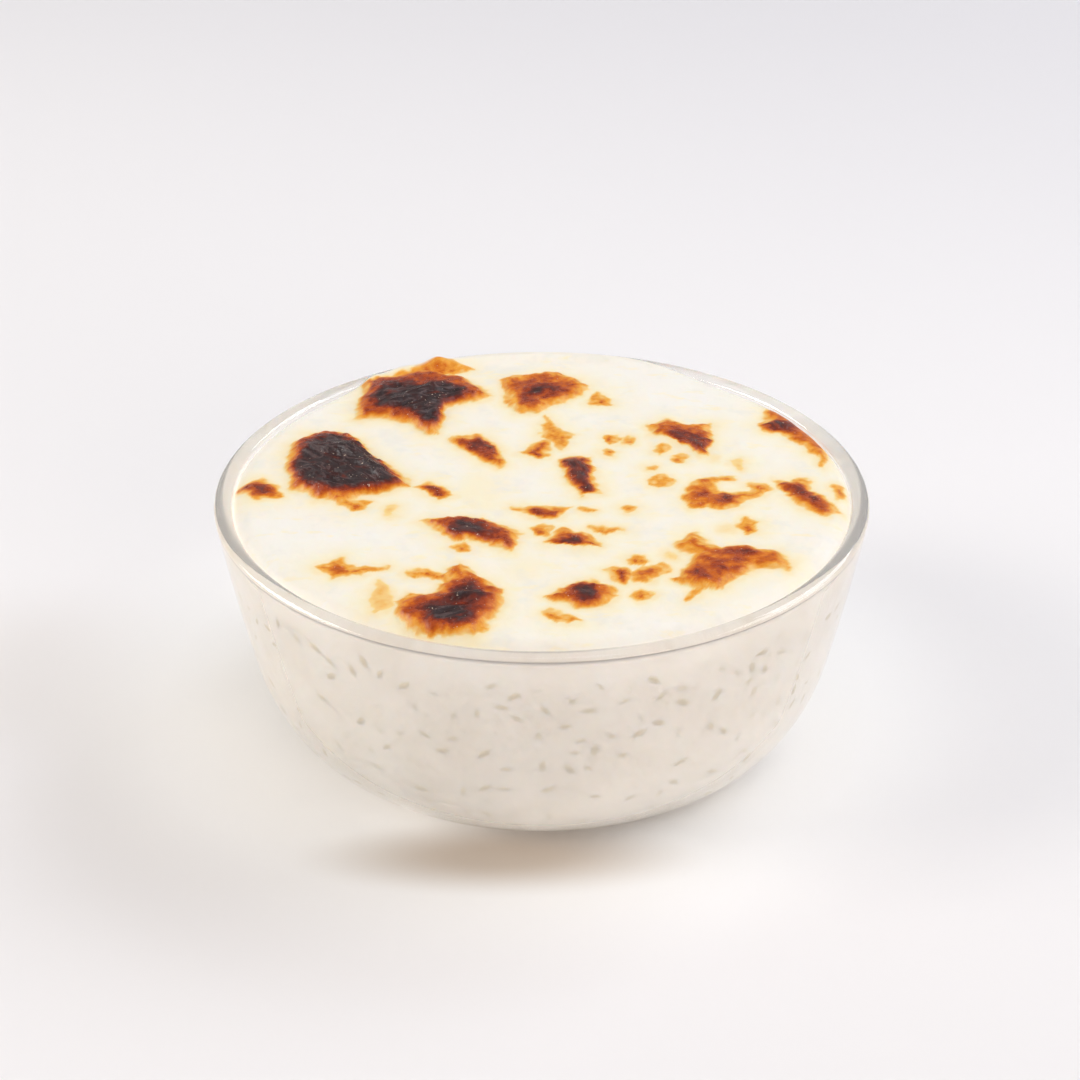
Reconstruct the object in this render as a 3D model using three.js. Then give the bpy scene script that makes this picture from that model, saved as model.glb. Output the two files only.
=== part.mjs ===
// A clear glass bowl filled to its lip with baked rice pudding, whose skin has scorched in patches.
// Millimetres, +Z up. The origin is the middle of the bowl's foot, on the table.

import * as THREE from 'three';

// ---------------------------------------------------------------- bowl sizes
const LIP_RADIUS = 65;              // outside of the bowl at its widest, just under the lip
const BOWL_HEIGHT = 50.5;           // table to the top of the lip
const LIP_WIDTH = 3.6;              // glass measured level across the lip
const LIP_RISE = 1.0;               // height of the rounded lip above its widest line
const WALL_TOP = BOWL_HEIGHT - LIP_RISE;
const WALL_LEAN = THREE.MathUtils.degToRad(13.2);   // outward lean of the wall from upright
const WALL_BULGE = 0.7;             // how far the wall bows out at half height
const OUTER_CORNER = { width: 9.4, height: 18.9 };  // elliptical turn from the wall into the foot
const INNER_CORNER = { width: 8.8, height: 15.8 };  // the same turn inside, into the floor
const FLOOR_HEIGHT = 3.0;           // glass under the pudding, outside the recess
const FOOT_INNER_RADIUS = 31;       // the bowl stands on the ring outside this radius
const RECESS_RADIUS = 28;           // flat middle of the underside, clear of the table
const RECESS_DEPTH = 0.7;

// ------------------------------------------------------------- pudding sizes
const WALL_CLEARANCE = 0.3;         // between the pudding and the glass
const EDGE_HEIGHT = 48.9;           // where the skin meets the wall
const CLIMB = 2.6;                  // how much higher the skin has baked onto the glass at the back
const CLIMB_TURNS = [48, 74, 118, 138];   // degrees from +X: start, full height, full height, end
const SHOULDER_RADIUS = 57.5;       // inside this radius the skin is a low dome
const SHOULDER_HEIGHT = 50.8;       // skin height at the shoulder
const DOME_RISE = 0.7;              // from the shoulder to the middle
const CRUST_SLOPE = 2.2;            // width of the slope at the edge of a scorched patch
const CRUST_POINT = 1.5;            // outline power of a patch: 2 is an ellipse, 1 a diamond
const WRINKLE_HEIGHT = 0.3;         // wrinkles across a scorched patch, crest to middle
const WRINKLE_PITCH = 6.6;
const WRINKLE_SLANT = 0.25;         // how far a wrinkle runs across for each millimetre along
const SWELL_HEIGHT = 0.16;          // slow unevenness of the pale skin
const BROAD_SWELL = { alongX: 48, alongY: 37, shift: 7 };   // wave lengths and start of the wider swell
const SLANTING_SWELL = { alongX: 22, alongY: -30 };         // and of the one that crosses it
const GRAIN_COUNT = 150;            // rice grains that lift the skin
const GRAIN = { length: 5.6, width: 2.6, height: 0.32 };
const GRAIN_SEED = 41;

// Scorched patches of the skin: middle, half sizes, turn in degrees and how far each has puffed up.
const PATCHES = [
  { name: 'back star', at: [-25, 41], half: [15, 19], turn: 12, rise: 1.3 },
  { name: 'left shield', at: [-40, 10.5], half: [17.5, 12.5], turn: -48, rise: 1.2 },
  { name: 'left edge', at: [-56.5, 0], half: [4.6, 3.6], turn: 0, rise: 0.4 },
  { name: 'middle left', at: [-13.5, -18.8], half: [10.5, 5], turn: -36, rise: 0.9 },
  { name: 'back middle', at: [0.8, 42.5], half: [9, 9.5], turn: 0, rise: 0.9 },
  { name: 'back leaf', at: [-13.2, 16.2], half: [8.2, 4], turn: -50, rise: 0.5 },
  { name: 'upright bar', at: [8, 5], half: [8.6, 3.1], turn: 107, rise: 0.6 },
  { name: 'right wedge', at: [29.2, 23.4], half: [8, 5.6], turn: -38, rise: 0.9 },
  { name: 'right crescent', at: [36, -3], half: [9.4, 4.6], turn: 8, rise: 0.5 },
  { name: 'right leaf', at: [52.2, -1.6], half: [9.2, 3.8], turn: -58, rise: 0.6 },
  { name: 'right rim strip', at: [52.6, 24], half: [14.5, 3.4], turn: -66, rise: 0.6 },
  { name: 'middle cap', at: [6, -21.6], half: [5.8, 3.6], turn: -12, rise: 0.6 },
  { name: 'front left', at: [-17.4, -45], half: [9.4, 12.2], turn: -22, rise: 1.1 },
  { name: 'front oval', at: [7.5, -41.6], half: [6, 4.6], turn: -15, rise: 0.8 },
  { name: 'front pair', at: [18, -35.5], half: [6.2, 3], turn: 24, rise: 0.4 },
  { name: 'right long', at: [36, -31], half: [13.2, 6.4], turn: 22, rise: 0.9 },
];

// Folds that stand up in the skin: middle, half length along the turn, half width and height.
const FOLDS = [
  { name: 'star ridge', at: [-24.5, 40.5], half: [8, 2.1], turn: 40, height: 0.9 },
  { name: 'star corner', at: [-33, 41], half: [6, 2.2], turn: -55, height: 0.7 },
  { name: 'shield crest', at: [-42.5, 14.4], half: [6, 2.1], turn: -12, height: 0.8 },
  { name: 'shield ridge', at: [-34.8, 7], half: [10, 2.1], turn: -56, height: 1.0 },
  { name: 'wedge fold', at: [27.5, 18.4], half: [8, 2.2], turn: -38, height: 0.7 },
  { name: 'cap fold', at: [8, -25.8], half: [9, 2.2], turn: -6, height: 0.6 },
  { name: 'front left ridge', at: [-14, -45.4], half: [7, 2.0], turn: 5, height: 0.9 },
];

// The torn edge of the back star, which stands up where the skin meets the glass.
const FLAP = [
  { name: 'left corner', at: [-35.8, 49.6], half: [2.6, 1.4], turn: 44, height: 0.9 },
  { name: 'left edge', at: [-30, 53], half: [3.4, 1.2], turn: 32, height: 0.4 },
  { name: 'tip', at: [-22, 56.2], half: [2.4, 1.6], turn: -4, height: 1.4 },
  { name: 'shoulder', at: [-17.6, 55.4], half: [2.6, 1.2], turn: -30, height: 0.7 },
];

// ------------------------------------------------------------------ fineness
const TURN_SEGMENTS = 72;           // facets round the bowl
const WALL_STEPS = 11;              // facets up each face of the wall
const WALL_CROWDING = 1.8;          // power that draws the facets together near the floor, 1 for none
const LIP_STEPS = 6;
const SKIN_CELLS = 48;              // cells across the pudding's skin, each way
const SLOPE_STEP = 1e-4;            // height step over which the wall's slope is taken

/** Radius of a leaning, slightly bowed wall that turns in at the bottom through an elliptical corner. */
function wallRadius(topRadius, corner, base, z) {
  const up = (z - base) / (WALL_TOP - base);
  const leaning = topRadius - (WALL_TOP - z) * Math.tan(WALL_LEAN);
  const bowed = leaning + 4 * WALL_BULGE * up * (1 - up);
  const intoCorner = Math.max(0, 1 - (z - base) / corner.height);
  return bowed - corner.width * (1 - Math.sqrt(1 - intoCorner ** 2));
}

const outerRadius = (z) => wallRadius(LIP_RADIUS, OUTER_CORNER, 0, z);
const innerRadius = (z) => wallRadius(LIP_RADIUS - LIP_WIDTH, INNER_CORNER, FLOOR_HEIGHT, z);

/** Heights from base to the wall's top, closer together near the base, where the wall turns. */
function wallHeights(base) {
  const shares = Array.from({ length: WALL_STEPS + 1 }, (_, i) => (i / WALL_STEPS) ** WALL_CROWDING);
  return shares.map((share) => THREE.MathUtils.lerp(base, WALL_TOP, share));
}

/** A point of the pudding's side: the clearance away from the inner wall, square to it, at height z. */
function clearOfWall(z) {
  const slope = (innerRadius(z + SLOPE_STEP) - innerRadius(z)) / SLOPE_STEP;
  const length = Math.hypot(1, slope);
  return new THREE.Vector2(
    innerRadius(z) - WALL_CLEARANCE / length,
    z + (WALL_CLEARANCE * slope) / length,
  );
}

/** The bowl's section, from the middle of its underside, over the lip, to the middle of its floor. */
function bowlProfile() {
  const points = [
    new THREE.Vector2(0, RECESS_DEPTH),
    new THREE.Vector2(RECESS_RADIUS, RECESS_DEPTH),
    new THREE.Vector2(FOOT_INNER_RADIUS, 0),
  ];
  for (const z of wallHeights(0)) {
    points.push(new THREE.Vector2(outerRadius(z), z));
  }
  const lipMiddle = LIP_RADIUS - LIP_WIDTH / 2;
  for (let i = 1; i < LIP_STEPS; i += 1) {
    const angle = (Math.PI * i) / LIP_STEPS;
    const r = lipMiddle + (LIP_WIDTH / 2) * Math.cos(angle);
    points.push(new THREE.Vector2(r, WALL_TOP + LIP_RISE * Math.sin(angle)));
  }
  for (const z of wallHeights(FLOOR_HEIGHT).reverse()) {
    points.push(new THREE.Vector2(innerRadius(z), z));
  }
  points.push(new THREE.Vector2(0, FLOOR_HEIGHT));
  return points;
}

/** The glass bowl, turned about +Z. */
function makeBowl() {
  const geometry = new THREE.LatheGeometry(bowlProfile(), TURN_SEGMENTS);
  geometry.rotateX(Math.PI / 2);
  const glass = new THREE.MeshStandardMaterial({
    color: 0xeef1f0, roughness: 0.04, metalness: 0, transparent: true, opacity: 0.35,
  });
  const bowl = new THREE.Mesh(geometry, glass);
  bowl.name = 'bowl';
  return bowl;
}

/** A point's place along and across a shape that is turned about its middle. */
function turnedPlace(x, y, at, turn) {
  const angle = THREE.MathUtils.degToRad(turn);
  const dx = x - at[0];
  const dy = y - at[1];
  return [
    dx * Math.cos(angle) + dy * Math.sin(angle),
    -dx * Math.sin(angle) + dy * Math.cos(angle),
  ];
}

/** How far the scorched crust stands above the pale skin, wrinkles included. */
function crustRise(x, y) {
  let rise = 0;
  for (const patch of PATCHES) {
    const [along, across] = turnedPlace(x, y, patch.at, patch.turn);
    const lengthwise = Math.abs(along / patch.half[0]) ** CRUST_POINT;
    const crosswise = Math.abs(across / patch.half[1]) ** CRUST_POINT;
    const inside = (1 - (lengthwise + crosswise) ** (1 / CRUST_POINT)) * Math.min(...patch.half);
    const cover = THREE.MathUtils.smoothstep(inside, -CRUST_SLOPE / 2, CRUST_SLOPE / 2);
    const wave = Math.sin((2 * Math.PI * (across + WRINKLE_SLANT * along)) / WRINKLE_PITCH);
    const wrinkle = WRINKLE_HEIGHT * patch.rise * wave;
    rise = Math.max(rise, cover * (patch.rise + wrinkle));
  }
  return rise;
}

/** Height that a set of folds adds at a point. */
function foldRise(folds, x, y) {
  let rise = 0;
  for (const fold of folds) {
    const [along, across] = turnedPlace(x, y, fold.at, fold.turn);
    const spread = (along / fold.half[0]) ** 2 + (across / fold.half[1]) ** 2;
    rise += fold.height * Math.exp(-spread);
  }
  return rise;
}

/** Repeatable random numbers from 0 to 1, each worked out from the last by a fixed factor and remainder. */
function seededRandom(seed) {
  const factor = 16807;
  const range = 2 ** 31 - 1;
  let state = seed;
  return () => {
    state = (state * factor) % range;
    return state / range;
  };
}

/** Rice grains that lie just under the skin, spread evenly over it and turned at random. */
function scatterGrains() {
  const random = seededRandom(GRAIN_SEED);
  const goldenAngle = Math.PI * (3 - Math.sqrt(5));
  return Array.from({ length: GRAIN_COUNT }, (_, i) => {
    const r = SHOULDER_RADIUS * Math.sqrt((i + random()) / GRAIN_COUNT);
    const angle = i * goldenAngle;
    return { at: [r * Math.cos(angle), r * Math.sin(angle)], turn: 180 * random() };
  });
}

const GRAINS = scatterGrains();

/** Height that the grains under the skin add at a point. */
function grainRise(x, y) {
  let rise = 0;
  for (const grain of GRAINS) {
    const [along, across] = turnedPlace(x, y, grain.at, grain.turn);
    const spread = (2 * along / GRAIN.length) ** 2 + (2 * across / GRAIN.width) ** 2;
    rise = Math.max(rise, GRAIN.height * Math.exp(-spread));
  }
  return rise;
}

/** Slow swells of the pale skin. */
function swell(x, y) {
  const phase = (distance, waveLength) => (2 * Math.PI * distance) / waveLength;
  const lengthwise = Math.sin(phase(x + BROAD_SWELL.shift, BROAD_SWELL.alongX));
  const broad = lengthwise * Math.cos(phase(y, BROAD_SWELL.alongY));
  const slanting = Math.sin(phase(x, SLANTING_SWELL.alongX) + phase(y, SLANTING_SWELL.alongY));
  return SWELL_HEIGHT * (broad + slanting);
}

/** Height at which the skin meets the glass in the direction of a point: it has climbed up at the back. */
function edgeHeight(x, y) {
  const turn = THREE.MathUtils.radToDeg(Math.atan2(y, x));
  const [start, full, leave, end] = CLIMB_TURNS;
  const rising = THREE.MathUtils.smoothstep(turn, start, full);
  return EDGE_HEIGHT + CLIMB * (rising - THREE.MathUtils.smoothstep(turn, leave, end));
}

/** Height of the pudding's skin: a low dome that rolls down to the glass, with all its relief. */
function skinHeight(x, y, edgeRadius) {
  const r = Math.hypot(x, y);
  const dome = SHOULDER_HEIGHT + DOME_RISE * (1 - Math.min(1, r / SHOULDER_RADIUS) ** 2);
  const roll = Math.max(0, (r - SHOULDER_RADIUS) / (edgeRadius - SHOULDER_RADIUS));
  const base = THREE.MathUtils.lerp(dome, edgeHeight(x, y), roll ** 2);
  const relief = crustRise(x, y) + foldRise(FOLDS, x, y) + grainRise(x, y) + swell(x, y);
  return base + relief * (1 - roll ** 2) + foldRise(FLAP, x, y);
}

/** A point of the unit square, from -1 to 1 each way, moved evenly onto the unit disc. */
function squareToDisc(a, b) {
  if (a === 0 && b === 0) return [0, 0];
  const [r, angle] = Math.abs(a) > Math.abs(b)
    ? [a, (Math.PI / 4) * (b / a)]
    : [b, Math.PI / 2 - (Math.PI / 4) * (a / b)];
  return [r * Math.cos(angle), r * Math.sin(angle)];
}

/** Indices of the skin grid's outline, in order, turning from +X towards +Y. */
function skinOutline(row) {
  const last = SKIN_CELLS;
  const outline = [];
  for (let i = 0; i < last; i += 1) outline.push(row * i + last);
  for (let i = last; i > 0; i -= 1) outline.push(row * last + i);
  for (let i = last; i > 0; i -= 1) outline.push(row * i);
  for (let i = 0; i < last; i += 1) outline.push(i);
  return outline;
}

/** The pudding: one closed solid from the bowl's floor up to its uneven skin. */
function makePudding() {
  const positions = [];
  const faces = [];
  const row = SKIN_CELLS + 1;
  const edgeRadius = innerRadius(EDGE_HEIGHT) - WALL_CLEARANCE;
  for (let j = 0; j < row; j += 1) {
    for (let i = 0; i < row; i += 1) {
      const [u, v] = squareToDisc((2 * i) / SKIN_CELLS - 1, (2 * j) / SKIN_CELLS - 1);
      const [x, y] = [edgeRadius * u, edgeRadius * v];
      positions.push(x, y, skinHeight(x, y, edgeRadius));
    }
  }
  for (let j = 0; j < SKIN_CELLS; j += 1) {
    for (let i = 0; i < SKIN_CELLS; i += 1) {
      const a = j * row + i;
      faces.push(a, a + 1, a + row + 1, a, a + row + 1, a + row);
    }
  }

  let ring = skinOutline(row);
  const angles = ring.map((k) => Math.atan2(positions[3 * k + 1], positions[3 * k]));
  const sidePoints = wallHeights(FLOOR_HEIGHT).slice(0, -1).reverse().map(clearOfWall);
  for (const point of sidePoints) {
    const next = angles.map((angle) => {
      positions.push(point.x * Math.cos(angle), point.x * Math.sin(angle), point.y);
      return positions.length / 3 - 1;
    });
    ring.forEach((top, k) => {
      const after = (k + 1) % ring.length;
      faces.push(top, next[k], next[after], top, next[after], ring[after]);
    });
    ring = next;
  }
  positions.push(0, 0, FLOOR_HEIGHT + WALL_CLEARANCE);
  const middle = positions.length / 3 - 1;
  ring.forEach((vertex, k) => faces.push(middle, ring[(k + 1) % ring.length], vertex));

  const geometry = new THREE.BufferGeometry();
  geometry.setAttribute('position', new THREE.Float32BufferAttribute(positions, 3));
  geometry.setIndex(faces);
  geometry.computeVertexNormals();
  const cream = new THREE.MeshStandardMaterial({ color: 0xf8f1e2, roughness: 0.5, metalness: 0 });
  const pudding = new THREE.Mesh(geometry, cream);
  pudding.name = 'pudding';
  return pudding;
}

const dessert = new THREE.Group();
dessert.add(makeBowl(), makePudding());

export default dessert;
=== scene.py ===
"""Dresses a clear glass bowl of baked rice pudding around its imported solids.

Lengths are millimetres in the classes below and become metres where a mesh is made.
"""

import logging
import math
from collections.abc import Callable, Mapping, Sequence
from dataclasses import dataclass, field
from enum import Enum
from typing import Any

import bpy
import numpy as np
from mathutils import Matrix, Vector, noise


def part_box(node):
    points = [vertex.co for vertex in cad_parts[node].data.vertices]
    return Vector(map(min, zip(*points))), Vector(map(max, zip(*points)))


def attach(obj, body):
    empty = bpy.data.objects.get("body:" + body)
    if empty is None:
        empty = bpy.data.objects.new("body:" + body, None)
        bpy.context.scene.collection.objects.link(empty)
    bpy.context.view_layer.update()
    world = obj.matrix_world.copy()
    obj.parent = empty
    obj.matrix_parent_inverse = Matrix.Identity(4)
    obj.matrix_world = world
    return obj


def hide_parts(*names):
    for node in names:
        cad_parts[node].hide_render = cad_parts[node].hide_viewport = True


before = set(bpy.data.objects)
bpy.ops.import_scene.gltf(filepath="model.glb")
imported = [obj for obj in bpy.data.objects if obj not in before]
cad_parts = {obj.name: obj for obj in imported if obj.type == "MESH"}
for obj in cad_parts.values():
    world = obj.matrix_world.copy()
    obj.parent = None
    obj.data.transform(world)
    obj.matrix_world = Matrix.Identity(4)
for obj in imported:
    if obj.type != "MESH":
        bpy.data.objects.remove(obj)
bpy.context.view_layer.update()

MM = 0.001
LOG = logging.getLogger("rice_pudding")

Colour = tuple[float, float, float, float]
Point2 = tuple[float, float]


# ------------------------------------------------------------------ small tools


def srgb(red: int, green: int, blue: int) -> Colour:
    """Turns a screen colour, 0 to 255, into a linear one."""
    def linear(value: float) -> float:
        """Undoes the screen curve of one channel."""
        return value / 12.92 if value <= 0.04045 else ((value + 0.055) / 1.055) ** 2.4
    return (linear(red / 255), linear(green / 255), linear(blue / 255), 1.0)


def smooth_step(value: np.ndarray, low: float | np.ndarray, high: float | np.ndarray) -> np.ndarray:
    """Rises smoothly from 0 at low to 1 at high.

    Args:
        value: Where to read the step.
        low: Value at which it starts to rise.
        high: Value at which it is 1.

    Returns:
        The step at each value.
    """
    t = np.clip((value - low) / (high - low), 0.0, 1.0)
    return t * t * (3.0 - 2.0 * t)


def noise_at(points: np.ndarray, size: float, layer: float) -> np.ndarray:
    """Smooth noise from about -1 to 1.

    Args:
        points: Plan points, one row each.
        size: Width of the noise's features, in the points' units.
        layer: Picks one of many unlike noises.

    Returns:
        One value for each point.
    """
    return np.array([noise.noise(Vector((x / size, y / size, layer))) for x, y in points])


def turned(points: np.ndarray, middle: Point2, turn: float) -> tuple[np.ndarray, np.ndarray]:
    """Places of points along and across a shape that is turned about its middle.

    Args:
        points: Plan points, one row each.
        middle: The shape's middle.
        turn: The shape's turn from +X, in degrees.

    Returns:
        The distances along the shape and across it.
    """
    angle = math.radians(turn)
    dx = points[:, 0] - middle[0]
    dy = points[:, 1] - middle[1]
    return dx * math.cos(angle) + dy * math.sin(angle), -dx * math.sin(angle) + dy * math.cos(angle)


class TreeMaker:
    """Adds nodes to a node tree, sets their inputs and joins them."""

    def __init__(self, tree: bpy.types.NodeTree) -> None:
        """Keeps the tree and empties it."""
        self.tree = tree
        tree.nodes.clear()

    def node(self, kind: str, inputs: Mapping[str | int, Any] | None = None, **settings: Any) -> Any:
        """Adds one node.

        Args:
            kind: The node's type name.
            inputs: Values or source sockets by input name or number.
            settings: Properties of the node itself.

        Returns:
            The new node.
        """
        made = self.tree.nodes.new(kind)
        for name, value in settings.items():
            setattr(made, name, value)
        for key, value in (inputs or {}).items():
            if isinstance(value, bpy.types.NodeSocket):
                self.tree.links.new(value, made.inputs[key])
            else:
                made.inputs[key].default_value = value
        return made

    def sum_up(self, operation: str, *values: Any) -> bpy.types.NodeSocket:
        """One math node, such as ADD or MULTIPLY, on the given values or sockets."""
        return self.node("ShaderNodeMath", dict(enumerate(values)), operation=operation).outputs[0]


class ShaderMaker(TreeMaker):
    """Builds the node tree of one material."""

    def __init__(self, name: str) -> None:
        """Makes the material and its empty tree."""
        self.material = bpy.data.materials.new(name)
        self.material.use_nodes = True
        super().__init__(self.material.node_tree)

    def places(self) -> bpy.types.NodeSocket:
        """Object coordinates, in metres."""
        return self.node("ShaderNodeTexCoord").outputs["Object"]

    def attribute(self, name: str, output: str = "Fac") -> bpy.types.NodeSocket:
        """A named attribute of the mesh."""
        return self.node("ShaderNodeAttribute", attribute_name=name).outputs[output]

    def grain(self, where: bpy.types.NodeSocket, scale: float, detail: float = 3.0,
              roughness: float = 0.5, distortion: float = 0.0) -> bpy.types.NodeSocket:
        """Smooth noise from 0 to 1.

        Args:
            where: The coordinates that it is read at.
            scale: Features for each unit of the coordinates.
            detail: Octaves.
            roughness: Weight of the finer octaves.
            distortion: How far the noise bends itself.

        Returns:
            The noise's value socket.
        """
        inputs = {"Vector": where, "Scale": scale, "Detail": detail,
                  "Roughness": roughness, "Distortion": distortion}
        return self.node("ShaderNodeTexNoise", inputs).outputs["Fac"]

    def remap(self, value: bpy.types.NodeSocket, low: float, high: float,
              to_low: float = 0.0, to_high: float = 1.0) -> bpy.types.NodeSocket:
        """Maps low..high smoothly onto to_low..to_high, held at both ends."""
        inputs = {"Value": value, "From Min": low, "From Max": high, "To Min": to_low, "To Max": to_high}
        node = self.node("ShaderNodeMapRange", inputs, interpolation_type="SMOOTHSTEP")
        return node.outputs["Result"]

    def blend(self, factor: Any, first: Any, second: Any) -> bpy.types.NodeSocket:
        """Mixes two colours: 0 gives the first and 1 the second."""
        inputs = {"Factor": factor, 6: first, 7: second}
        return self.node("ShaderNodeMix", inputs, data_type="RGBA").outputs[2]

    def ramp(self, factor: bpy.types.NodeSocket,
             stops: Sequence[tuple[float, Colour]]) -> bpy.types.NodeSocket:
        """Runs a value through a row of colours.

        Args:
            factor: Value from 0 to 1.
            stops: Places and their colours, in order.

        Returns:
            The colour socket.
        """
        node = self.node("ShaderNodeValToRGB", {"Fac": factor})
        node.color_ramp.interpolation = "LINEAR"
        elements = node.color_ramp.elements
        while len(elements) < len(stops):
            elements.new(1.0)
        for element, (place, colour) in zip(elements, stops):
            element.position = place
            element.color = colour
        return node.outputs["Color"]

    def bump(self, height: bpy.types.NodeSocket, distance: float) -> bpy.types.NodeSocket:
        """Turns a height pattern into shading normals, with its full height in metres."""
        inputs = {"Height": height, "Distance": distance, "Strength": 1.0}
        return self.node("ShaderNodeBump", inputs).outputs["Normal"]

    def finish(self, shader: bpy.types.NodeSocket) -> bpy.types.Material:
        """Joins the last shader to the material's surface."""
        self.node("ShaderNodeOutputMaterial", {"Surface": shader})
        return self.material


# --------------------------------------------------------------------- finishes


class Browning(Enum):
    """Stages that the skin passes through under the grill, from raw to burnt."""

    CREAM = (0.00, srgb(247, 241, 231))
    IVORY = (0.07, srgb(249, 237, 208))
    STRAW = (0.17, srgb(246, 214, 144))
    AMBER = (0.29, srgb(238, 165, 54))
    CARAMEL = (0.42, srgb(212, 108, 8))
    RUST = (0.56, srgb(166, 62, 8))
    CHESTNUT = (0.70, srgb(112, 38, 20))
    COCOA = (0.84, srgb(72, 30, 24))
    CHAR = (1.00, srgb(48, 31, 31))


@dataclass(frozen=True)
class ClearGlass:
    """Clear pressed glass with faint waves in its surface."""

    name: str = "clear_glass"
    tint: Colour = srgb(246, 245, 244)
    refraction: float = 1.47
    roughness: float = 0.01
    clearness: float = 0.68
    wave_size: float = 14.0
    wave_height: float = 0.012

    def material(self) -> bpy.types.Material:
        """Makes the glass."""
        make = ShaderMaker(self.name)
        waves = make.grain(make.places(), 1.0 / (self.wave_size * MM), 1.0)
        shader = make.node("ShaderNodeBsdfPrincipled", {
            "Base Color": self.tint,
            "Roughness": self.roughness,
            "IOR": self.refraction,
            "Transmission Weight": self.clearness,
            "Normal": make.bump(waves, self.wave_height * MM),
        })
        return make.finish(shader.outputs["BSDF"])


@dataclass(frozen=True)
class BakedPudding:
    """Milky pudding with a moist skin that goes from cream to char where it has browned."""

    wet: Colour = srgb(236, 232, 222)
    buttery: Colour = srgb(250, 236, 198)
    flesh: Colour = srgb(247, 240, 229)
    flesh_deep: Colour = srgb(238, 229, 214)
    # Painted shade: the side darkens in a band of heights just under the skin's edge.
    painted_edge_shade: Colour = srgb(158, 150, 141)
    edge_span: tuple[float, float] = (47.5, 48.7)
    # Painted sheen: a lilac-grey that lightens the crests of the char's wrinkles.
    painted_crest_sheen: Colour = srgb(134, 110, 108)
    # Painted glints: pale dots on the blistered, browned skin.
    glint: Colour = srgb(240, 214, 190)
    light_depth: float = 1.6
    light_weight: float = 0.35
    light_colours: tuple[float, float, float] = (1.0, 0.75, 0.5)
    refraction: float = 1.42
    roughness: float = 0.44
    burnt_roughness: float = 0.22
    sheen: float = 0.3
    relief_height: float = 0.16
    fibre_pull: float = 0.045
    speck_pull: float = 0.1
    ember_pull: float = 0.22

    def flesh_colour(self, make: ShaderMaker) -> bpy.types.NodeSocket:
        """Colour of the pudding behind the glass: cloudy where rice lies deeper, with painted shade in a band
        just under its edge.

        Args:
            make: The material that is being built.

        Returns:
            The colour socket.
        """
        where = make.places()
        clouds = make.grain(where, 1.0 / (11.0 * MM), 3.0, 0.55)
        fine = make.grain(where, 1.0 / (2.6 * MM), 2.0, 0.5)
        mixed = make.sum_up("ADD", make.sum_up("MULTIPLY", clouds, 0.7), make.sum_up("MULTIPLY", fine, 0.3))
        colour = make.blend(make.remap(mixed, 0.38, 0.66), self.flesh, self.flesh_deep)
        # Painted shade in a band just under the skin's edge.
        height = make.node("ShaderNodeSeparateXYZ", {0: where}).outputs["Z"]
        low, high = (z * MM for z in self.edge_span)
        middle = (low + high) / 2.0
        rising = make.remap(height, low, middle)
        falling = make.remap(height, middle, high, 1.0, 0.0)
        return make.blend(make.sum_up("MULTIPLY", rising, falling), colour, self.painted_edge_shade)

    def skin_colour(self, make: ShaderMaker, browned: bpy.types.NodeSocket,
                    creases: bpy.types.NodeSocket) -> bpy.types.NodeSocket:
        """Colour of the skin for a given browning, with painted sheen on the char's wrinkle crests and
        painted glints.

        Args:
            make: The material that is being built.
            browned: Browning from 0 to 1, with its ragged edges.
            creases: 0 on the crests of the wrinkles and more away from them.

        Returns:
            The colour socket.
        """
        where = make.places()
        drawn_out = make.node("ShaderNodeMapping", {"Vector": where, "Scale": (0.45, 1.0, 1.0)}).outputs[0]
        colour = make.ramp(browned, [stage.value for stage in Browning])
        unbaked = make.remap(browned, 0.02, 0.2, 1.0, 0.0)
        charred = make.remap(browned, 0.66, 0.94)
        clouds = make.remap(make.grain(where, 1.0 / (7.0 * MM), 3.0, 0.6), 0.5, 0.7, 0.0, 0.6)
        streaks = make.remap(make.grain(drawn_out, 1.0 / (3.4 * MM), 3.0, 0.6), 0.56, 0.72, 0.0, 0.7)
        # Painted sheen on the wrinkle crests.
        crests = make.remap(creases, 0.0, 0.045, 0.26, 0.0)
        # Painted glints as pale dots.
        glints = make.remap(make.grain(where, 1.0 / (0.5 * MM), 1.0), 0.72, 0.78, 0.0, 0.75)
        blistered = make.remap(browned, 0.3, 0.5)
        for share, place, tint in (
                (clouds, unbaked, self.wet), (streaks, unbaked, self.buttery), (crests, charred, self.painted_crest_sheen),
                (glints, blistered, self.glint)):
            colour = make.blend(make.sum_up("MULTIPLY", share, place), colour, tint)
        return colour

    def browned(self, make: ShaderMaker, folds: bpy.types.NodeSocket) -> bpy.types.NodeSocket:
        """Browning with fibres that run out of each patch, fine specks and redder folds in the char.

        Args:
            make: The material that is being built.
            folds: Coordinates along and across the wrinkles.

        Returns:
            The browning socket, from 0 to 1.
        """
        base = make.attribute("browning")
        threads = make.grain(make.attribute("fibre", "Vector"), 1.0, 2.0, 0.6)
        specks = make.grain(make.places(), 1.0 / (0.55 * MM), 3.0, 0.65)
        embers = make.remap(make.grain(folds, 1.1, 2.0, 0.5), 0.56, 0.74)
        fringe = make.sum_up("MULTIPLY", make.remap(base, 0.16, 0.4), make.remap(base, 0.62, 0.98, 1.0, 0.3))
        pull = make.sum_up(
            "ADD",
            make.sum_up("MULTIPLY", make.sum_up("SUBTRACT", threads, 0.5), 2.0 * self.fibre_pull),
            make.sum_up("MULTIPLY", make.sum_up("SUBTRACT", specks, 0.5), 2.0 * self.speck_pull),
        )
        glow = make.sum_up("MULTIPLY", embers, make.remap(base, 0.6, 0.9, 0.0, -self.ember_pull))
        return make.sum_up("ADD", make.sum_up("ADD", base, glow), make.sum_up("MULTIPLY", pull, fringe))

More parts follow.
